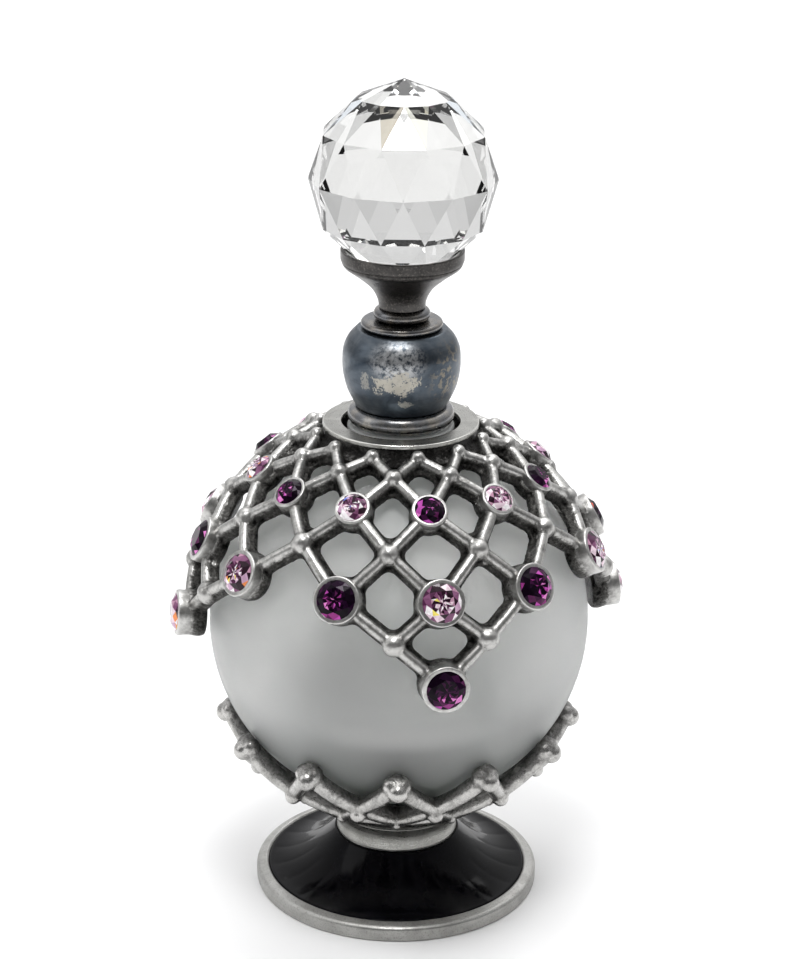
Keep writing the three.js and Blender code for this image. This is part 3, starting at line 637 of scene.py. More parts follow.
def build_foot():
    flare = [(r, flare_z(r)) for r in np.linspace(ENAMEL_R, COLLAR_R + 0.05, 40)]
    under = [(r - 0.1, z - 0.5) for r, z in reversed(flare)]
    turned_piece("foot_enamel_skin", [*flare, *under], ENAMEL, "bottle", ["foot_enamel"],
                 sides=352, shape=petal_relief)
    outline = filleted([
        (SCREW_HOLE_R, SCREW_SINK_Z, 0.1), (SCREW_SINK_R, SCREW_SINK_Z, 0.1), (SCREW_SINK_R, RECESS_Z, 0.2),
        (RING_R - 0.6, RECESS_Z, 0.3), (RING_R, 0, 0.3), (FOOT_R - 0.05, 0, 0.5), (FOOT_R, 2.3, 0.5),
        (FOOT_R - 0.45, 2.72, 0.3), (23.15, 3.12, 0.35), (22.75, 2.75, 0.15), (22.5, 2.3, 0.1),
        *[(r - 0.2, z - 0.62, 0) for r, z in flare[1:-1:3]],
        (10.3, COLLAR_BOTTOM, 0.1), (SCREW_HOLE_R, COLLAR_BOTTOM, 0.1)])
    turned_piece("foot_casting", outline, RIM_PEWTER, "bottle", ["foot_base"], sides=192)
    collar = filleted([
        (SCREW_HOLE_R, COLLAR_BOTTOM, 0.05), (10.65, COLLAR_BOTTOM, 0.12), (10.6, COLLAR_BOTTOM + 0.5, 0.3),
        (10.42, COLLAR_BOTTOM + 1.5, 1.0), (10.48, COLLAR_TOP - 1.5, 1.0), (10.8, COLLAR_TOP - 0.5, 0.4),
        (10.98, COLLAR_TOP - 0.15, 0.12), (10.9, COLLAR_TOP, 0.05), (SCREW_HOLE_R, COLLAR_TOP, 0.05)])
    turned_piece("foot_collar_ring", collar, SATIN_PEWTER, "bottle", ["foot_collar"],
                 sides=160)
    head_low, head_top, socket = low_mm("foot_screw")[2], SCREW_SINK_Z - 0.3, 0.9
    screw = filleted([
        (0, head_low + socket), (socket, head_low + socket, 0.1), (socket + 0.05, head_low, 0.1),
        (3.2, head_low, 0.4), (SCREW_HEAD_R, head_low + 0.6, 0.2), (SCREW_HEAD_R, head_top, 0.1),
        (SCREW_SHANK_R, head_top, 0.1), (SCREW_SHANK_R, SCREW_TOP_Z - 0.58, 0.2), (1.4, SCREW_TOP_Z, 0.2),
        (0, SCREW_TOP_Z)])
    turned_piece("foot_screw_head", screw, PLAIN_STEEL, "bottle", ["foot_screw"], sides=64)


# ---- basket ----

def great_arc(start, end, distance, steps=8, bow=0.0):
    """Points along the globe from one (latitude, longitude) to another, and their normals.
    `distance` is a number or a pair for the two ends."""
    a, b = direction(*start), direction(*end)
    near, far = distance if isinstance(distance, tuple) else (distance, distance)
    points, normals = [], []
    for i in range(steps + 1):
        t = i / steps
        n = a * (1 - t) + b * t
        n /= np.linalg.norm(n)
        reach = near * (1 - t) + far * t + bow * math.sin(math.pi * t)
        points.append(GLOBE_CENTRE + n * reach)
        normals.append(n)
    return points, normals


def round_section(radius, sides=14):
    return [(radius * math.cos(a), radius * math.sin(a)) for a in np.arange(sides) * 2 * math.pi / sides]


def webbed_section(wire_r, web, back):
    """A half-round wire of radius `wire_r` on a web of half width `web` that goes `back` deep."""
    top = [(wire_r * math.cos(a), wire_r * math.sin(a)) for a in np.radians(np.linspace(-25, 205, 12))]
    return [*top, (-web + 0.3, -0.6), (-web, -1.0), (-web, -back),
            (web, -back), (web, -1.0), (web - 0.3, -0.6)]


def knob(outward, inner, outer, radius):
    """A round-ended peg that stands straight out from the globe."""
    return stood([(0, inner), (radius, inner), *arc(outer - radius, radius, 0, 90, 8)[:-1], (0, outer)],
                 outward, 20)


TIP_LATITUDE, VALLEY_LATITUDE, ROOT_LATITUDE = -32.2, -46.1, -59.3
BAR_TIP_R, BAR_VALLEY_R = 34.55, 34.95  # distances from the globe's centre
THIN_BAR_R = 35.5
DISH_R = 17.88
DISH_RIM_Z = 19.78
HUB_Z = 17.1
SEAT_R_ON_GLOBE = 8


def build_basket():
    bar = [(1.45 * math.cos(a), 1.6 * math.sin(a)) for a in np.arange(20) * math.pi / 10]
    web = [(-0.85, -2.3), (0.85, -2.3), (0.95, 0), (-0.95, 0)]
    thin = round_section(0.95)
    rng = random.Random(5)
    parts = []
    for k in range(COLUMNS):
        at, half = k * COLUMN_STEP, COLUMN_STEP / 2
        root, far_root = (ROOT_LATITUDE, at), (ROOT_LATITUDE, at + COLUMN_STEP)
        for side in (-half, half):
            valley = (VALLEY_LATITUDE, at + side)
            bow = 0.05 + rng.uniform(-0.1, 0.1)
            points, normals = great_arc((TIP_LATITUDE + 0.7, at), valley, (BAR_TIP_R, BAR_VALLEY_R), 8, bow)
            parts.append(sweep(points, normals, bar))
            points, normals = great_arc(valley, root, (THIN_BAR_R - 0.05, THIN_BAR_R), 6)
            parts += [sweep(points, normals, thin), sweep(points, normals, web)]
        points, normals = great_arc(root, far_root, THIN_BAR_R, 6)
        parts.append(sweep(points, normals, thin))
        turned_by = rng.uniform(-0.6, 0.6)
        parts.append(knob(direction(TIP_LATITUDE, at + turned_by), 33.0, 37.4, 1.78))
        for side in (-1.7, 1.7):
            parts.append(ball(on_globe(TIP_LATITUDE + 0.3, at + side, BAR_TIP_R - 0.05), 1.66))
        parts.append(ball(on_globe(VALLEY_LATITUDE - 0.3, at + half, 36.2), 1.45))
        parts.append(ball(on_globe(ROOT_LATITUDE, at, 36.0), 1.1))
    seat, under = GLOBE_Z - math.sqrt(GLOBE_R ** 2 - SEAT_R_ON_GLOBE ** 2) - 0.03, COLLAR_TOP + 0.03
    dish = filleted([
        (0, HUB_Z), (SCREW_HOLE_R, HUB_Z, 0.1), (SCREW_HOLE_R, under, 0.1), (11.15, under, 0.2),
        (DISH_R - 0.28, HUB_Z + 1, 0.4), (DISH_R, HUB_Z + 1.4, 0.3), (DISH_R, DISH_RIM_Z - 0.38, 0.4),
        (DISH_R - 0.78, DISH_RIM_Z, 0.4), (SEAT_R_ON_GLOBE + 0.4, seat, 0.3), (0, seat)])
    parts.append(revolve(dish, 96))
    obj = cast("basket_casting", parts, 0.24, 2, 150000)
    finish_piece(obj, BASKET_PEWTER, "bottle", ["lower_basket"])


# ---- globe ----

NECK_R = 9.05
NECK_BORE_R = 6.5
GLASS_WALL = 2.5


def build_globe():
    seat = math.degrees(math.acos(SEAT_R_ON_GLOBE / GLOBE_R))
    shoulder = math.degrees(math.acos((NECK_R + 0.25) / GLOBE_R))
    inner_r = GLOBE_R - GLASS_WALL
    inner_shoulder = math.degrees(math.acos((NECK_BORE_R + 0.15) / inner_r))
    neck = filleted([(NECK_R, LIP_Z - 3.2, 0.2), (NECK_R, LIP_Z, 0.5), (NECK_BORE_R, LIP_Z, 0.35),
                     (NECK_BORE_R, LIP_Z - 4.8, 0.3)], 0.4, 5)
    outline = [(0, low_mm("glass_globe")[2]), *arc(GLOBE_Z, GLOBE_R, -seat, shoulder, 72), *neck[5:-5],
               *arc(GLOBE_Z, inner_r, inner_shoulder, -90, 60)[:-1], (0, GLOBE_Z - inner_r)]
    turned_piece("globe_of_frosted_glass", outline, FROSTED, "bottle", ["glass_globe"],
                 sides=160)


# ---- cap ----

WIRE_R = 36.4  # middle of the half-round wire on each rib
CAP_BACK = 34.6
CUP_BACK = 33.85  # the bezels reach further in than the ribs
WEB = 1.42  # half the width of a rib's web
WEB_FILLET = 1.5
WIDEST_WEB = math.radians(150)  # ribs further apart than this have no web between them
WIRE = 0.98
KNOT_TOP_R = 38.15
PEAK, TOP_KNOT, MIDDLE_KNOT, LOW_KNOT = 67.1, 60.4, 38.5, 15.6
Row = namedtuple("Row", "latitude radius outer rim")  # of the row's stones and their bezels
UPPER = Row(49.7, 2.5, 3.0, 37.6)
MIDDLE = Row(25.8, 3.25, 3.92, 38.2)
LOWER = Row(4.9, 3.25, 3.92, 38.8)
LOW_KNOT_BESIDE = 12.7
MIDDLE_PULL = 1.5  # how far the stones beside a festoon's point are drawn towards it


def gem_longitude(k):
    return CAP_TURN + (k % COLUMNS) * COLUMN_STEP


def knot_longitude(k):
    return gem_longitude(k) + COLUMN_STEP / 2


def middle_longitude(k):
    return gem_longitude(k) + (0, -MIDDLE_PULL, MIDDLE_PULL)[k % FESTOON_COLUMNS]


def stones():
    """(node name, row, longitude, dark) of every stone of the cap."""
    for k in range(COLUMNS):
        number = f"{k + 1:02d}"
        even = k % 2 == 0
        yield f"stone_upper_{number}", UPPER, gem_longitude(k), even
        yield f"stone_middle_{number}", MIDDLE, middle_longitude(k), not even
        if k % FESTOON_COLUMNS == 0:
            yield f"stone_lower_{number}", LOWER, gem_longitude(k), even


def cap_net():
    """The cap's ribs, as pairs of (latitude, longitude), and its knots with their radii."""
    ribs, knots = [], []
    for k in range(COLUMNS):
        peak, upper = (PEAK, gem_longitude(k)), (UPPER.latitude, gem_longitude(k))
        middle = (MIDDLE.latitude, middle_longitude(k))
        for side in (k - 1, k):
            top_knot, middle_knot = (TOP_KNOT, knot_longitude(side)), (MIDDLE_KNOT, knot_longitude(side))
            ribs += [(peak, top_knot), (top_knot, upper), (upper, middle_knot), (middle_knot, middle)]
        knots += [((TOP_KNOT, knot_longitude(k)), 1.55), ((MIDDLE_KNOT, knot_longitude(k)), 1.88)]
        knots.append((peak, 1.25))
    for k in range(0, COLUMNS, FESTOON_COLUMNS):
        point, centre = (LOWER.latitude, gem_longitude(k)), (MIDDLE.latitude, gem_longitude(k))
        for side in (-1, 1):
            low = (LOW_KNOT, gem_longitude(k) + side * LOW_KNOT_BESIDE)
            beside = (MIDDLE.latitude, middle_longitude(k + side))
            ribs += [(centre, low), (beside, low), (low, point)]
            knots.append((low, 1.98))
    return ribs, knots


def plate(node, outline):
    """A patch of web level with the ribs' webs: an outline of (across, up) points about a node, all
    of which can be seen from the node."""
    outward = direction(*node)
    level, up = basis(outward)
    middle = (CAP_BACK + WIRE_R - 1) / 2

    def lift(distance):
        spread = [outward * middle + level * u + up * v for u, v in [(0, 0), *outline]]
        return [GLOBE_CENTRE + p / np.linalg.norm(p) * distance for p in spread]

    count = len(outline)
    verts = np.array(lift(CAP_BACK) + lift(WIRE_R - 0.95))
    over = count + 1
    faces = []
    for i in range(1, count + 1):
        j = i % count + 1
        faces += [[0, j, i], [over, over + i, over + j], [i, j, over + j, over + i]]
    return verts, faces


def turned_about(points, angle):
    c, s = math.cos(angle), math.sin(angle)
    return [(c * u - s * v, s * u + c * v) for u, v in points]


def fillet(along, end):
    """The curve of a fillet beside a rib, from where it leaves the rib to the angle `end`."""
    turns = np.linspace(-math.pi / 2, end, 8)
    across = WEB + WEB_FILLET
    return [(along + WEB_FILLET * math.cos(a), across + WEB_FILLET * math.sin(a)) for a in turns]


def corner_web(node, first, gap):
    """Rounds the corner of a hole between two ribs that leave a knot `gap` radians apart."""
    along = (WEB + WEB_FILLET) / math.sin(gap / 2) * math.cos(gap / 2)
    foot = (along * math.cos(gap), along * math.sin(gap))
    corner = [(0, 0.001), (along, 0), *fillet(along, gap - math.pi * 1.5), foot]
    return plate(node, turned_about(corner, first))


def bezel_web(node, heading, side, disc):
    """Flares a rib into the bezel at its end."""
    across = WEB + WEB_FILLET
    along = math.sqrt((disc + WEB_FILLET) ** 2 - across ** 2)
    flare = [(along, -0.001), *fillet(along, math.atan2(-across, -along))]
    return plate(node, turned_about([(u, v * side) for u, v in flare], heading))


def web_fillets(ribs):
    """The webs between the ribs, where they meet at a knot or run into a bezel."""
    discs = {row.latitude: row.outer + 0.15 for row in (UPPER, MIDDLE, LOWER)}
    headings = {}
    for start, end in ribs:
        for node, other in ((start, end), (end, start)):
            level, up = basis(direction(*node))
            ahead = direction(*other)
            headings.setdefault(node, []).append(math.atan2(ahead @ up, ahead @ level))
    parts = []
    for node, around in headings.items():
        around.sort()
        if node[0] in discs:
            parts += [bezel_web(node, a, side, discs[node[0]]) for a in around for side in (-1, 1)]
            continue
        for first, second in zip(around, [*around[1:], around[0] + 2 * math.pi]):
            if second - first < WIDEST_WEB:
                parts.append(corner_web(node, first, second - first))
    return parts


def build_cap():
    ribs, knots = cap_net()
    section = webbed_section(WIRE, WEB, WIRE_R - CAP_BACK)
    parts = web_fillets(ribs)
    for start, end in ribs:
        points, normals = great_arc(start, end, WIRE_R, 8, -0.1)
        parts.append(sweep(points, normals, section))
    for (latitude, longitude), radius in knots:
        parts.append(ball(on_globe(latitude, longitude, KNOT_TOP_R - radius), radius))
    for _, row, longitude, _ in stones():
        latitude, _, outer, rim = row
        cup = filleted([(0, CUP_BACK), (outer - 0.1, CUP_BACK, 0.4), (outer + 0.2, CUP_BACK + 1.15, 0.6),
                        (outer - 0.05, CUP_BACK + 2.45, 0.3), (outer - 0.1, rim - 1.2, 0.3), (0, rim - 1.2)])
        parts.append(stood(cup, direction(latitude, longitude), 40))
    obj = cast("openwork_casting", parts, 0.26, 2, 190000)
    finish_piece(obj, CAP_PEWTER, "bottle", ["lattice_cap"])
    collar = filleted([(10.42, 82.3), (14.1, 81.3), (14.85, 83.0), (13.15, 84.05), (12.85, 85.26),
                       (10.42, 85.26)])
    turned_piece("cap_collar", collar, COLLAR_PEWTER, "bottle", ["lattice_cap"], sides=160)


def build_bezels():
    """The stones' cups, with a rubbed rim standing round each stone."""
    parts = []
    for _, row, longitude, _ in stones():
        latitude, radius, outer, rim = row
        cup = filleted([(0, rim - 3.0), (outer - 0.12, rim - 3.0, 0.2), (outer, rim - 0.6, 0.4),
                        (outer - 0.03, rim, 0.25), (radius - 0.08, rim + 0.06, 0.12),
                        (radius - 0.1, rim - 0.75, 0.05), (0, rim - 0.9)], steps=5)
        parts.append(stood(cup, direction(latitude, longitude), 56))
    obj = make_object("stone_bezels", *merged(parts))
    finish_piece(obj, BEZEL_PEWTER, "bottle", ["lattice_cap"])
    obj.modifiers.new("normals", "WEIGHTED_NORMAL")


# ---- stones ----

# Facet colours and how often each comes: the stone's colour with painted shade for facets that stay deep,
# and painted flashes of reflected light for the others.
DARK_BODY_AND_SHADE = [((0.004, 0.0006, 0.005), 10), ((0.012, 0.002, 0.014), 8), ((0.04, 0.006, 0.036), 3),
             ((0.09, 0.014, 0.07), 1.2)]
DARK_PAINTED_FLASHES = [((0.5, 0.08, 0.42), 5), ((0.78, 0.24, 0.62), 3), ((0.3, 0.04, 0.22), 5),
              ((0.7, 0.1, 0.05), 0.5)]
LIGHT_BODY_AND_SHADE = [((0.02, 0.006, 0.014), 9), ((0.08, 0.02, 0.06), 7), ((0.22, 0.08, 0.17), 5),
              ((0.5, 0.27, 0.38), 3)]
LIGHT_PAINTED_FLASHES = [((0.86, 0.68, 0.77), 5), ((1.0, 0.96, 0.98), 7), ((0.6, 0.38, 0.54), 3),
               ((0.9, 0.3, 0.1), 0.7), ((0.95, 0.8, 0.15), 0.4), ((0.12, 0.2, 0.75), 0.6)]
FACETS = 8
CROWN_HEIGHT = 0.84
GIRDLE_Z, STONE_BACK_Z = 0.1, -0.7


def stone_mesh(radius):
    """A round brilliant's crown over a straight girdle. Its table is split where the pavilion's
    facets show through."""
    step = 2 * math.pi / FACETS
    height = CROWN_HEIGHT

    def ring(count, radii, z, turn=0.0):
        angles = [2 * math.pi * i / count + turn for i in range(count)]
        return [(radii[i % len(radii)] * math.cos(a), radii[i % len(radii)] * math.sin(a), z)
                for i, a in enumerate(angles)]

    double = 2 * FACETS
    table_r = 0.62 * radius
    verts = [(0, 0, height)]
    verts += ring(double, (0.14 * radius, 0.24 * radius), height)
    verts += ring(double, (0.46 * radius, 0.36 * radius), height)
    verts += ring(double, (table_r, table_r * math.cos(step / 2)), height)
    verts += ring(FACETS, (0.8 * radius,), 0.5 * height, step / 2)
    for z in (GIRDLE_Z, STONE_BACK_Z):
        verts += ring(double, (radius - 0.04,), z)
    verts.append((0, 0, STONE_BACK_Z))
    inner, star, table, mid = 1, 1 + double, 1 + 2 * double, 1 + 3 * double
    girdle = mid + FACETS
    below = girdle + double
    last = below + double
    faces = []
    for i in range(double):
        j = (i + 1) % double
        faces += [[0, inner + i, inner + j], [inner + i, star + i, inner + j]]
        faces += [[inner + j, star + i, star + j]]
        faces += [[star + i, table + i, table + j], [star + i, table + j, star + j]]
        faces += [[girdle + i, below + i, below + j, girdle + j], [below + j, below + i, last]]
    for i in range(FACETS):
        j = (i + 1) % FACETS
        faces += [[table + 2 * i, mid + i, table + 2 * j, table + 2 * i + 1]]
        faces += [[table + 2 * j, mid + i, girdle + 2 * j, mid + j]]
        faces += [[mid + i, girdle + 2 * i, girdle + 2 * i + 1]]
        faces += [[mid + i, girdle + 2 * i + 1, girdle + 2 * j]]
    return np.array(verts, float), faces


def build_stones():
    for index, (node, row, longitude, dark) in enumerate(stones()):
        latitude, radius, _, rim = row
        rng = random.Random(100 + index)
        flat, faces = stone_mesh(radius)
        turn = rng.uniform(0, math.pi / 4)
        across, along = math.cos(turn), math.sin(turn)
        flat = flat @ np.array([[across, -along, 0], [along, across, 0], [0, 0, 1]]).T
        verts = placed(flat, direction(latitude, longitude), on_globe(latitude, longitude, rim))
        obj = make_object(node.replace("stone", "cut_stone"), verts, faces)
        body, painted_flash = (DARK_BODY_AND_SHADE, DARK_PAINTED_FLASHES) if dark else (LIGHT_BODY_AND_SHADE, LIGHT_PAINTED_FLASHES)
        # Painted flashes: facets towards this side are more often painted with reflected light.
        lit = math.radians(rng.gauss(-80, 40))  # the side of the stone that sends the light back
        colours = []
        for face in faces:
            x, y, _ = flat[face].mean(axis=0) / radius
            towards = x * math.cos(lit) + y * math.sin(lit)
            chance = (0.03 + 0.42 * max(0.0, towards)) if dark else (0.3 + 0.4 * towards)
            palette = painted_flash if rng.random() < chance else body
            colours += rng.choices(*zip(*palette))
        paint_facets(obj, "facet_colour_and_light", colours)
        finish_piece(obj, DARK_STONE if dark else LIGHT_STONE, "bottle", [node],
                     smooth=False)


def build_shoulder_ring():
    low, high = low_mm("shoulder_ring")[2], high_mm("shoulder_ring")[2]
    inner, outer = 10.05, 13.22
    outline = filleted([(inner, low, 0.1), (outer, low, 0.15), (outer, high, 0.28), (inner, high, 0.2)])
    turned_piece("shoulder_washer", outline, SATIN_PEWTER, "bottle", ["shoulder_ring"],
                 sides=160)


# ---- stopper ----

BULB_OUTLINE = [(7.62, 88.95), (8.35, 90.35), (9.22, 92.3), (9.8, 94.8), (9.91, 97.1), (9.68, 99.1),
                (8.85, 100.9), (7.55, 102.3)]
BULB_WALL = 0.9
BULB_TOP_Z = 102.39
CUP_OUTLINE = [(3.86, 105.85), (4.12, 107.4), (5.25, 109.4), (7.6, 111.45), (9.6, 112.9), (10.1, 113.7)]
CUP_FOOT_Z = 105.82
STACK_HOLE_R = 1.75  # through the core, the bulb, its rings and the cup
SCREW_R = 1.48
WASHER_R = 8.0
WASHER_BORE_R = 6.55
WASHER_TOP = high_mm("seal_washer")[2]
PLUG_R = 5.88
PLUG_BORE_R = 3.15
CORE_R = 2.88
CORE_LOW_Z, CORE_HIGH_Z = 83.0, 83.6  # the wall inside the core that keeps the screw from the dabber
ROD_TOP_Z = 82.65


def half_round(r, bottom, top, stand, steps=14):
    """A ring's rounded edge, which stands out `stand` from the radius `r`."""
    middle = (bottom + top) / 2
    return [(r + stand * math.cos(a), middle + (top - bottom) / 2 * math.sin(a))
            for a in np.radians(np.linspace(-90, 90, steps + 1))]


def build_plug():
    """The stopper's lower end: seal, plug, threaded core and dabber."""
    low, high = LIP_Z + 0.01, WASHER_TOP - 0.02
    washer = filleted([(WASHER_BORE_R, low), (WASHER_R, low), (WASHER_R, high), (WASHER_BORE_R, high)], 0.12)
    turned_piece("seal", washer, SILICONE, "stopper_seal", ["seal_washer"], sides=96)

    bottom, rib_r = low_mm("stopper_plug")[2], PLUG_R + 0.3
    ribs = []
    for z in (bottom + 1.2, bottom + 3.1):
        ribs += [(PLUG_R, z, 0.1), (rib_r, z + 0.3, 0.15), (rib_r, z + 0.65, 0.15), (PLUG_R, z + 0.95, 0.1)]
    plug = filleted([(PLUG_BORE_R, bottom), (PLUG_R - 0.38, bottom, 0.4), *ribs, (PLUG_R, WASHER_TOP),
                     (PLUG_BORE_R, WASHER_TOP)], 0.2)
    turned_piece("plug", plug, PLUG_PLASTIC, "stopper", ["stopper_plug"], sides=96)

    low = low_mm("stopper_core")[2]
    core = filleted([
        (0, CORE_LOW_Z), (STACK_HOLE_R, CORE_LOW_Z, 0.1), (STACK_HOLE_R, low, 0.15), (CORE_R, low, 0.3),
        (CORE_R, WASHER_TOP, 0.1), (STACK_HOLE_R, WASHER_TOP, 0.1), (STACK_HOLE_R, CORE_HIGH_Z, 0.1),
        (0, CORE_HIGH_Z)])
    turned_piece("core", core, BRASS, "stopper", ["stopper_core"], sides=64)

    tip_r, rod_r = 2.25, 1.48
    tip_z = low_mm("dabber_rod")[2] + tip_r + 0.02
    neck = math.degrees(math.acos(rod_r / tip_r))
    rod = [(0, tip_z - tip_r), *arc(tip_z, tip_r, -90, neck, 24)[1:],
           *smooth_line([(rod_r - 0.06, tip_z + 2.3), (rod_r, tip_z + 4)], 3),
           (rod_r, ROD_TOP_Z - 0.25), (rod_r - 0.18, ROD_TOP_Z), (0, ROD_TOP_Z)]
    turned_piece("dabber", rod, DRAWN_GLASS, "stopper", ["dabber_rod"], sides=64)


def build_bulb():
    """The bulb and the three turned rings round it."""
    bead = [(7.62 + 1.38 * math.cos(a), 87.32 + 1.54 * math.sin(a))
            for a in np.radians(np.linspace(-70, 88, 22))]
    ring_top = BULB_OUTLINE[0][1] - 0.07
    ring = [(STACK_HOLE_R, WASHER_TOP), (WASHER_R + 0.03, WASHER_TOP), *bead, (7.45, ring_top),
            (STACK_HOLE_R, ring_top)]
    turned_piece("base_bead", ring, BEAD_METAL, "stopper", ["bulb_base_ring"], sides=128)

    bulb = smooth_line(BULB_OUTLINE, 8)
    inside = [(r - BULB_WALL, z) for r, z in bulb[8:-10]][::-1]
    shell = [*bulb, (7.3, BULB_TOP_Z), (STACK_HOLE_R, BULB_TOP_Z), (STACK_HOLE_R, BULB_TOP_Z - 0.89),
             (7.0, BULB_TOP_Z - 0.89), *inside, (6.75, BULB_OUTLINE[0][1])]
    turned_piece("bulb_shell", shell, BULB_METAL, "stopper", ["stopper_bulb"], sides=160)

    low, high = BULB_TOP_Z + 0.03, 103.77
    step = [(STACK_HOLE_R, low), *half_round(6.2, low + 0.03, high, 0.66), (STACK_HOLE_R, high)]
    turned_piece("bulb_step", step, RING_METAL, "stopper", ["step_ring"], sides=128)

    low, high, neck_r = high + 0.04, CUP_FOOT_Z - 0.03, 3.8
    bead = [(STACK_HOLE_R, low), (neck_r, low), *half_round(neck_r + 0.1, low + 0.04, high - 0.04, 0.84),
            (neck_r, high), (STACK_HOLE_R, high)]
    turned_piece("neck_bead", bead, RING_METAL, "stopper", ["upper_bead_ring"], sides=96)


def build_cup():
    """The ball's cup, and the long screw that ties it to the core. The cup's inside follows the
    ball's lowest ring of corners, 60 degrees below its middle."""
    ring_r, ring_z = BALL_R * 0.5 + 0.25, BALL_Z - BALL_R * math.sqrt(0.75)
    inner_r = ring_r + RIM_Z - ring_z
    top = high_mm("stack_screw")[2]
    side = filleted([(10.1, 113.7, 0.4), (10.27, 114.2, 0.3), (10.28, RIM_Z, 0.22),
                     (inner_r + 0.02, RIM_Z, 0.12), (ring_r, ring_z, 0)])
    cup = [(STACK_HOLE_R, CUP_FOOT_Z), *smooth_line(CUP_OUTLINE, 8)[:-1], *side, (3.05, top + 0.65),
           (2.8, top - 0.1), (STACK_HOLE_R, top - 1.15)]
    turned_piece("ball_cup", cup, GUNMETAL, "stopper", ["finial_cup"], sides=160)

    screw_end, head_slot = CORE_HIGH_Z + 0.35, top - 0.8
    screw = [(0, screw_end), (SCREW_R - 0.08, screw_end), (SCREW_R, screw_end + 0.15), (SCREW_R, top - 1.2),
             (2.55, top - 0.15), (2.5, top), (0.7, top), (0.65, head_slot), (0, head_slot)]
    turned_piece("long_screw", screw, PLAIN_STEEL, "stopper", ["stack_screw"], sides=48)


def greys(*values):
    """Very slightly warm greys."""
    return [(v, v, 0.985 * v) for v in values]


# Facet colours of the crystal ball: painted reflections and painted shade for what each facet shows of the
# lights, and painted spectral colours.
CROWN_PAINTED_LIGHT = greys(0.95, 0.98, 0.9, 0.5)
LOW_PAINTED_LIGHT = greys(0.74, 0.8, 0.86)
PAINTED_FIRE = [*greys(0.85, 0.7, 0.3, 0.2), (0.56, 0.5, 0.38), (0.38, 0.33, 0.24), (0.46, 0.52, 0.6),
              (0.82, 0.83, 0.68)]
BAND_PAINTED_LIGHT = [  # for the triangles that point up, then for those that point down, from the lowest band
    (greys(0.78, 0.84), greys(0.8, 0.98)),
    (greys(0.76, 0.82), greys(0.74, 0.79)),
    (greys(0.62, 0.69), greys(0.6, 0.66)),
    (greys(0.66, 0.98), PAINTED_FIRE),
]


def build_ball():
    """The crystal ball: rings of corners 30 degrees apart, each turned half a step from the next,
    with its edges very slightly dulled."""
    rng = random.Random(26788)
    verts, faces, tones = [(0, 0, -BALL_R)], [], []
    rings = (-60, -30, 0, 30, 60)
    for ring, latitude in enumerate(rings):
        for i in range(COLUMNS):
            verts.append(tuple(BALL_R * direction(latitude, (i + (ring % 2) / 2) * COLUMN_STEP)))
    verts.append((0, 0, BALL_CROWN))
    top = len(verts) - 1

    def at(ring, i):
        return 1 + ring * COLUMNS + i % COLUMNS

    for i in range(COLUMNS):
        faces += [[0, at(0, i + 1), at(0, i)], [top, at(4, i), at(4, i + 1)]]
        tones += [rng.choice(LOW_PAINTED_LIGHT), rng.choice(CROWN_PAINTED_LIGHT)]
        for ring in range(4):
            ahead = ring % 2
            faces.append([at(ring, i), at(ring, i + 1), at(ring + 1, i + ahead)])
            faces.append([at(ring, i + 1 - ahead), at(ring + 1, i + 1), at(ring + 1, i)])
            tones += [rng.choice(t) for t in BAND_PAINTED_LIGHT[ring]]
    obj = make_object("cut_ball", np.array(verts) + [0, 0, BALL_Z], faces)
    # painted reflections and painted shade, one colour per facet
    paint_facets(obj, "tone", tones)
    bevel = obj.modifiers.new("dulled_edges", "BEVEL")
    bevel.width = 0.1 * MM
    bevel.segments = 1
    finish_piece(obj, CRYSTAL, "stopper", ["crystal_ball"], smooth=False)


# ---- studio ----

CAMERA_PLACE = (0, -0.4203, 0.2328)  # metres, like everything in the studio
CAMERA_TURN = (20.55, 0.61, -0.028)  # downwards, roll and sideways, in degrees


def build_camera():
    """A viewpoint a little above the stopper, looking down at the bottle."""
    pitch, roll, yaw = (math.radians(a) for a in CAMERA_TURN)
    forward = Vector((math.sin(yaw) * math.cos(pitch), math.cos(yaw) * math.cos(pitch), -math.sin(pitch)))
    right = Vector((math.cos(yaw), -math.sin(yaw), 0))
    up = right.cross(forward)
    level = math.cos(roll) * right + math.sin(roll) * up
    over = math.cos(roll) * up - math.sin(roll) * right
    data = bpy.data.cameras.new("camera")
    data.lens = 99.17
    data.sensor_width = 36
    data.clip_start = 0.01
    camera = bpy.data.objects.new("camera", data)
    turn = Matrix((level, over, -forward)).transposed()
    camera.matrix_world = Matrix.Translation(CAMERA_PLACE) @ turn.to_4x4()
    bpy.context.scene.collection.objects.link(camera)
    bpy.context.scene.camera = camera


def area_light(name, place, target, size, power):
    data = bpy.data.lights.new(name, "AREA")
    data.shape = "RECTANGLE"
    data.size, data.size_y = size
    data.energy = power
    light = bpy.data.objects.new(name, data)
    light.location = place
    light.rotation_euler = (Vector(target) - Vector(place)).to_track_quat("-Z", "Y").to_euler()
    bpy.context.scene.collection.objects.link(light)


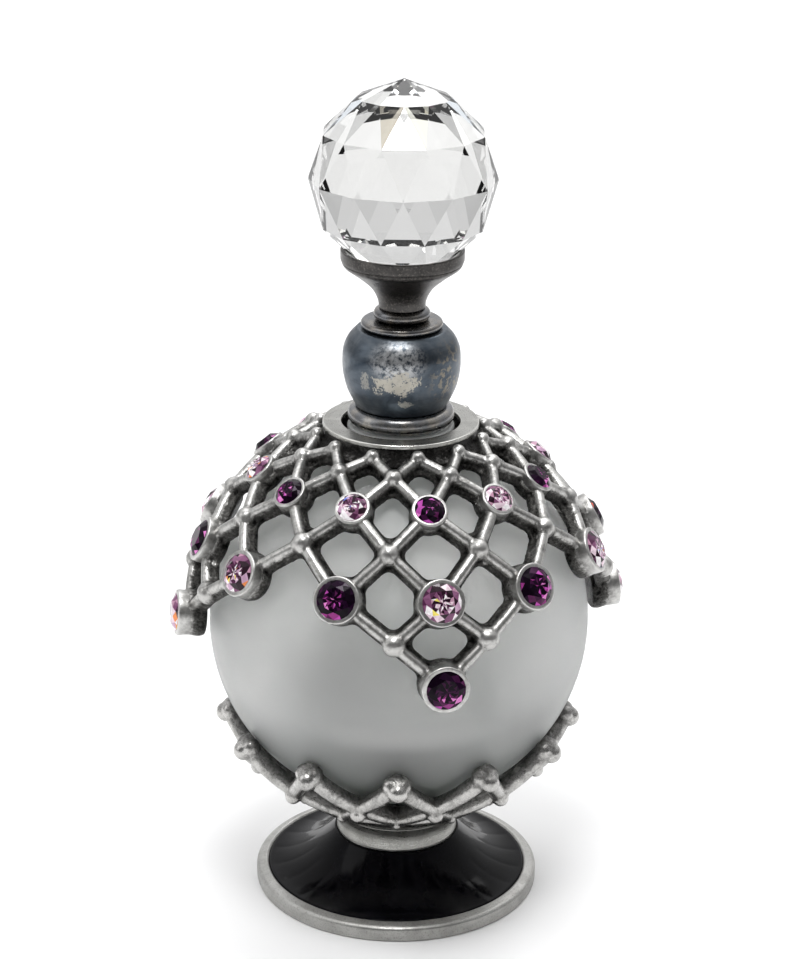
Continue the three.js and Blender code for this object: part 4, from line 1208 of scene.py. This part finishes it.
def build_floor():
    """A floor of white paper."""
    size = 6.0
    mesh = bpy.data.meshes.new("floor")
    corners = [(-size, -size, 0), (size, -size, 0), (size, size, 0), (-size, size, 0)]
    mesh.from_pydata(corners, [], [[0, 1, 2, 3]])
    floor = bpy.data.objects.new("floor", mesh)
    bpy.context.scene.collection.objects.link(floor)
    s = Shader("studio_paper", metallic=0.0)
    paper = s.finish((0.93, 0.93, 0.93), s.range(s.noise(60, 3, 0.6), 0.3, 0.7, 0.85, 0.95))
    mesh.materials.append(paper)


def build_sky():
    """A sky that is brightest above and behind the bottle."""
    world = bpy.data.worlds.new("studio")
    bpy.context.scene.world = world
    world.use_nodes = True
    nodes, links = world.node_tree.nodes, world.node_tree.links
    sky = nodes["Background"]
    place = nodes.new("ShaderNodeTexCoord")
    tilt = nodes.new("ShaderNodeVectorMath")
    tilt.operation = "DOT_PRODUCT"
    links.new(place.outputs["Generated"], tilt.inputs[0])
    tilt.inputs[1].default_value = (0, 0.6, 0.8)
    ramp = nodes.new("ShaderNodeValToRGB")
    links.new(tilt.outputs["Value"], ramp.inputs["Fac"])
    elements = ramp.color_ramp.elements
    elements.new(0.5)
    for element, (position, grey) in zip(elements, ((0.0, 0.15), (0.35, 0.48), (0.75, 1.0))):
        element.position = position
        element.color = (grey, grey, grey * 1.01, 1)
    links.new(ramp.outputs["Color"], sky.inputs["Color"])
    sky.inputs["Strength"].default_value = 0.95


def build_lights():
    """Soft lights: one high in front, a faint one at the left, and one that lights the floor behind."""
    area_light("key", (-0.04, -0.26, 0.95), (0, 0, 0.09), (0.3, 0.3), 4.4)
    area_light("side", (-0.8, -0.15, 0.5), (0, 0, 0.07), (0.5, 0.7), 1.3)
    area_light("back", (0.1, 0.75, 1.3), (0, 0.55, 0), (1.4, 1.2), 11.0)


build_camera()
build_floor()
build_sky()
build_lights()
build_foot()
build_basket()
build_globe()
build_cap()
build_bezels()
build_stones()
build_shoulder_ring()
build_plug()
build_bulb()
build_cup()
build_ball()

view = bpy.context.scene.view_settings
view.view_transform = "Standard"
view.look = "None"
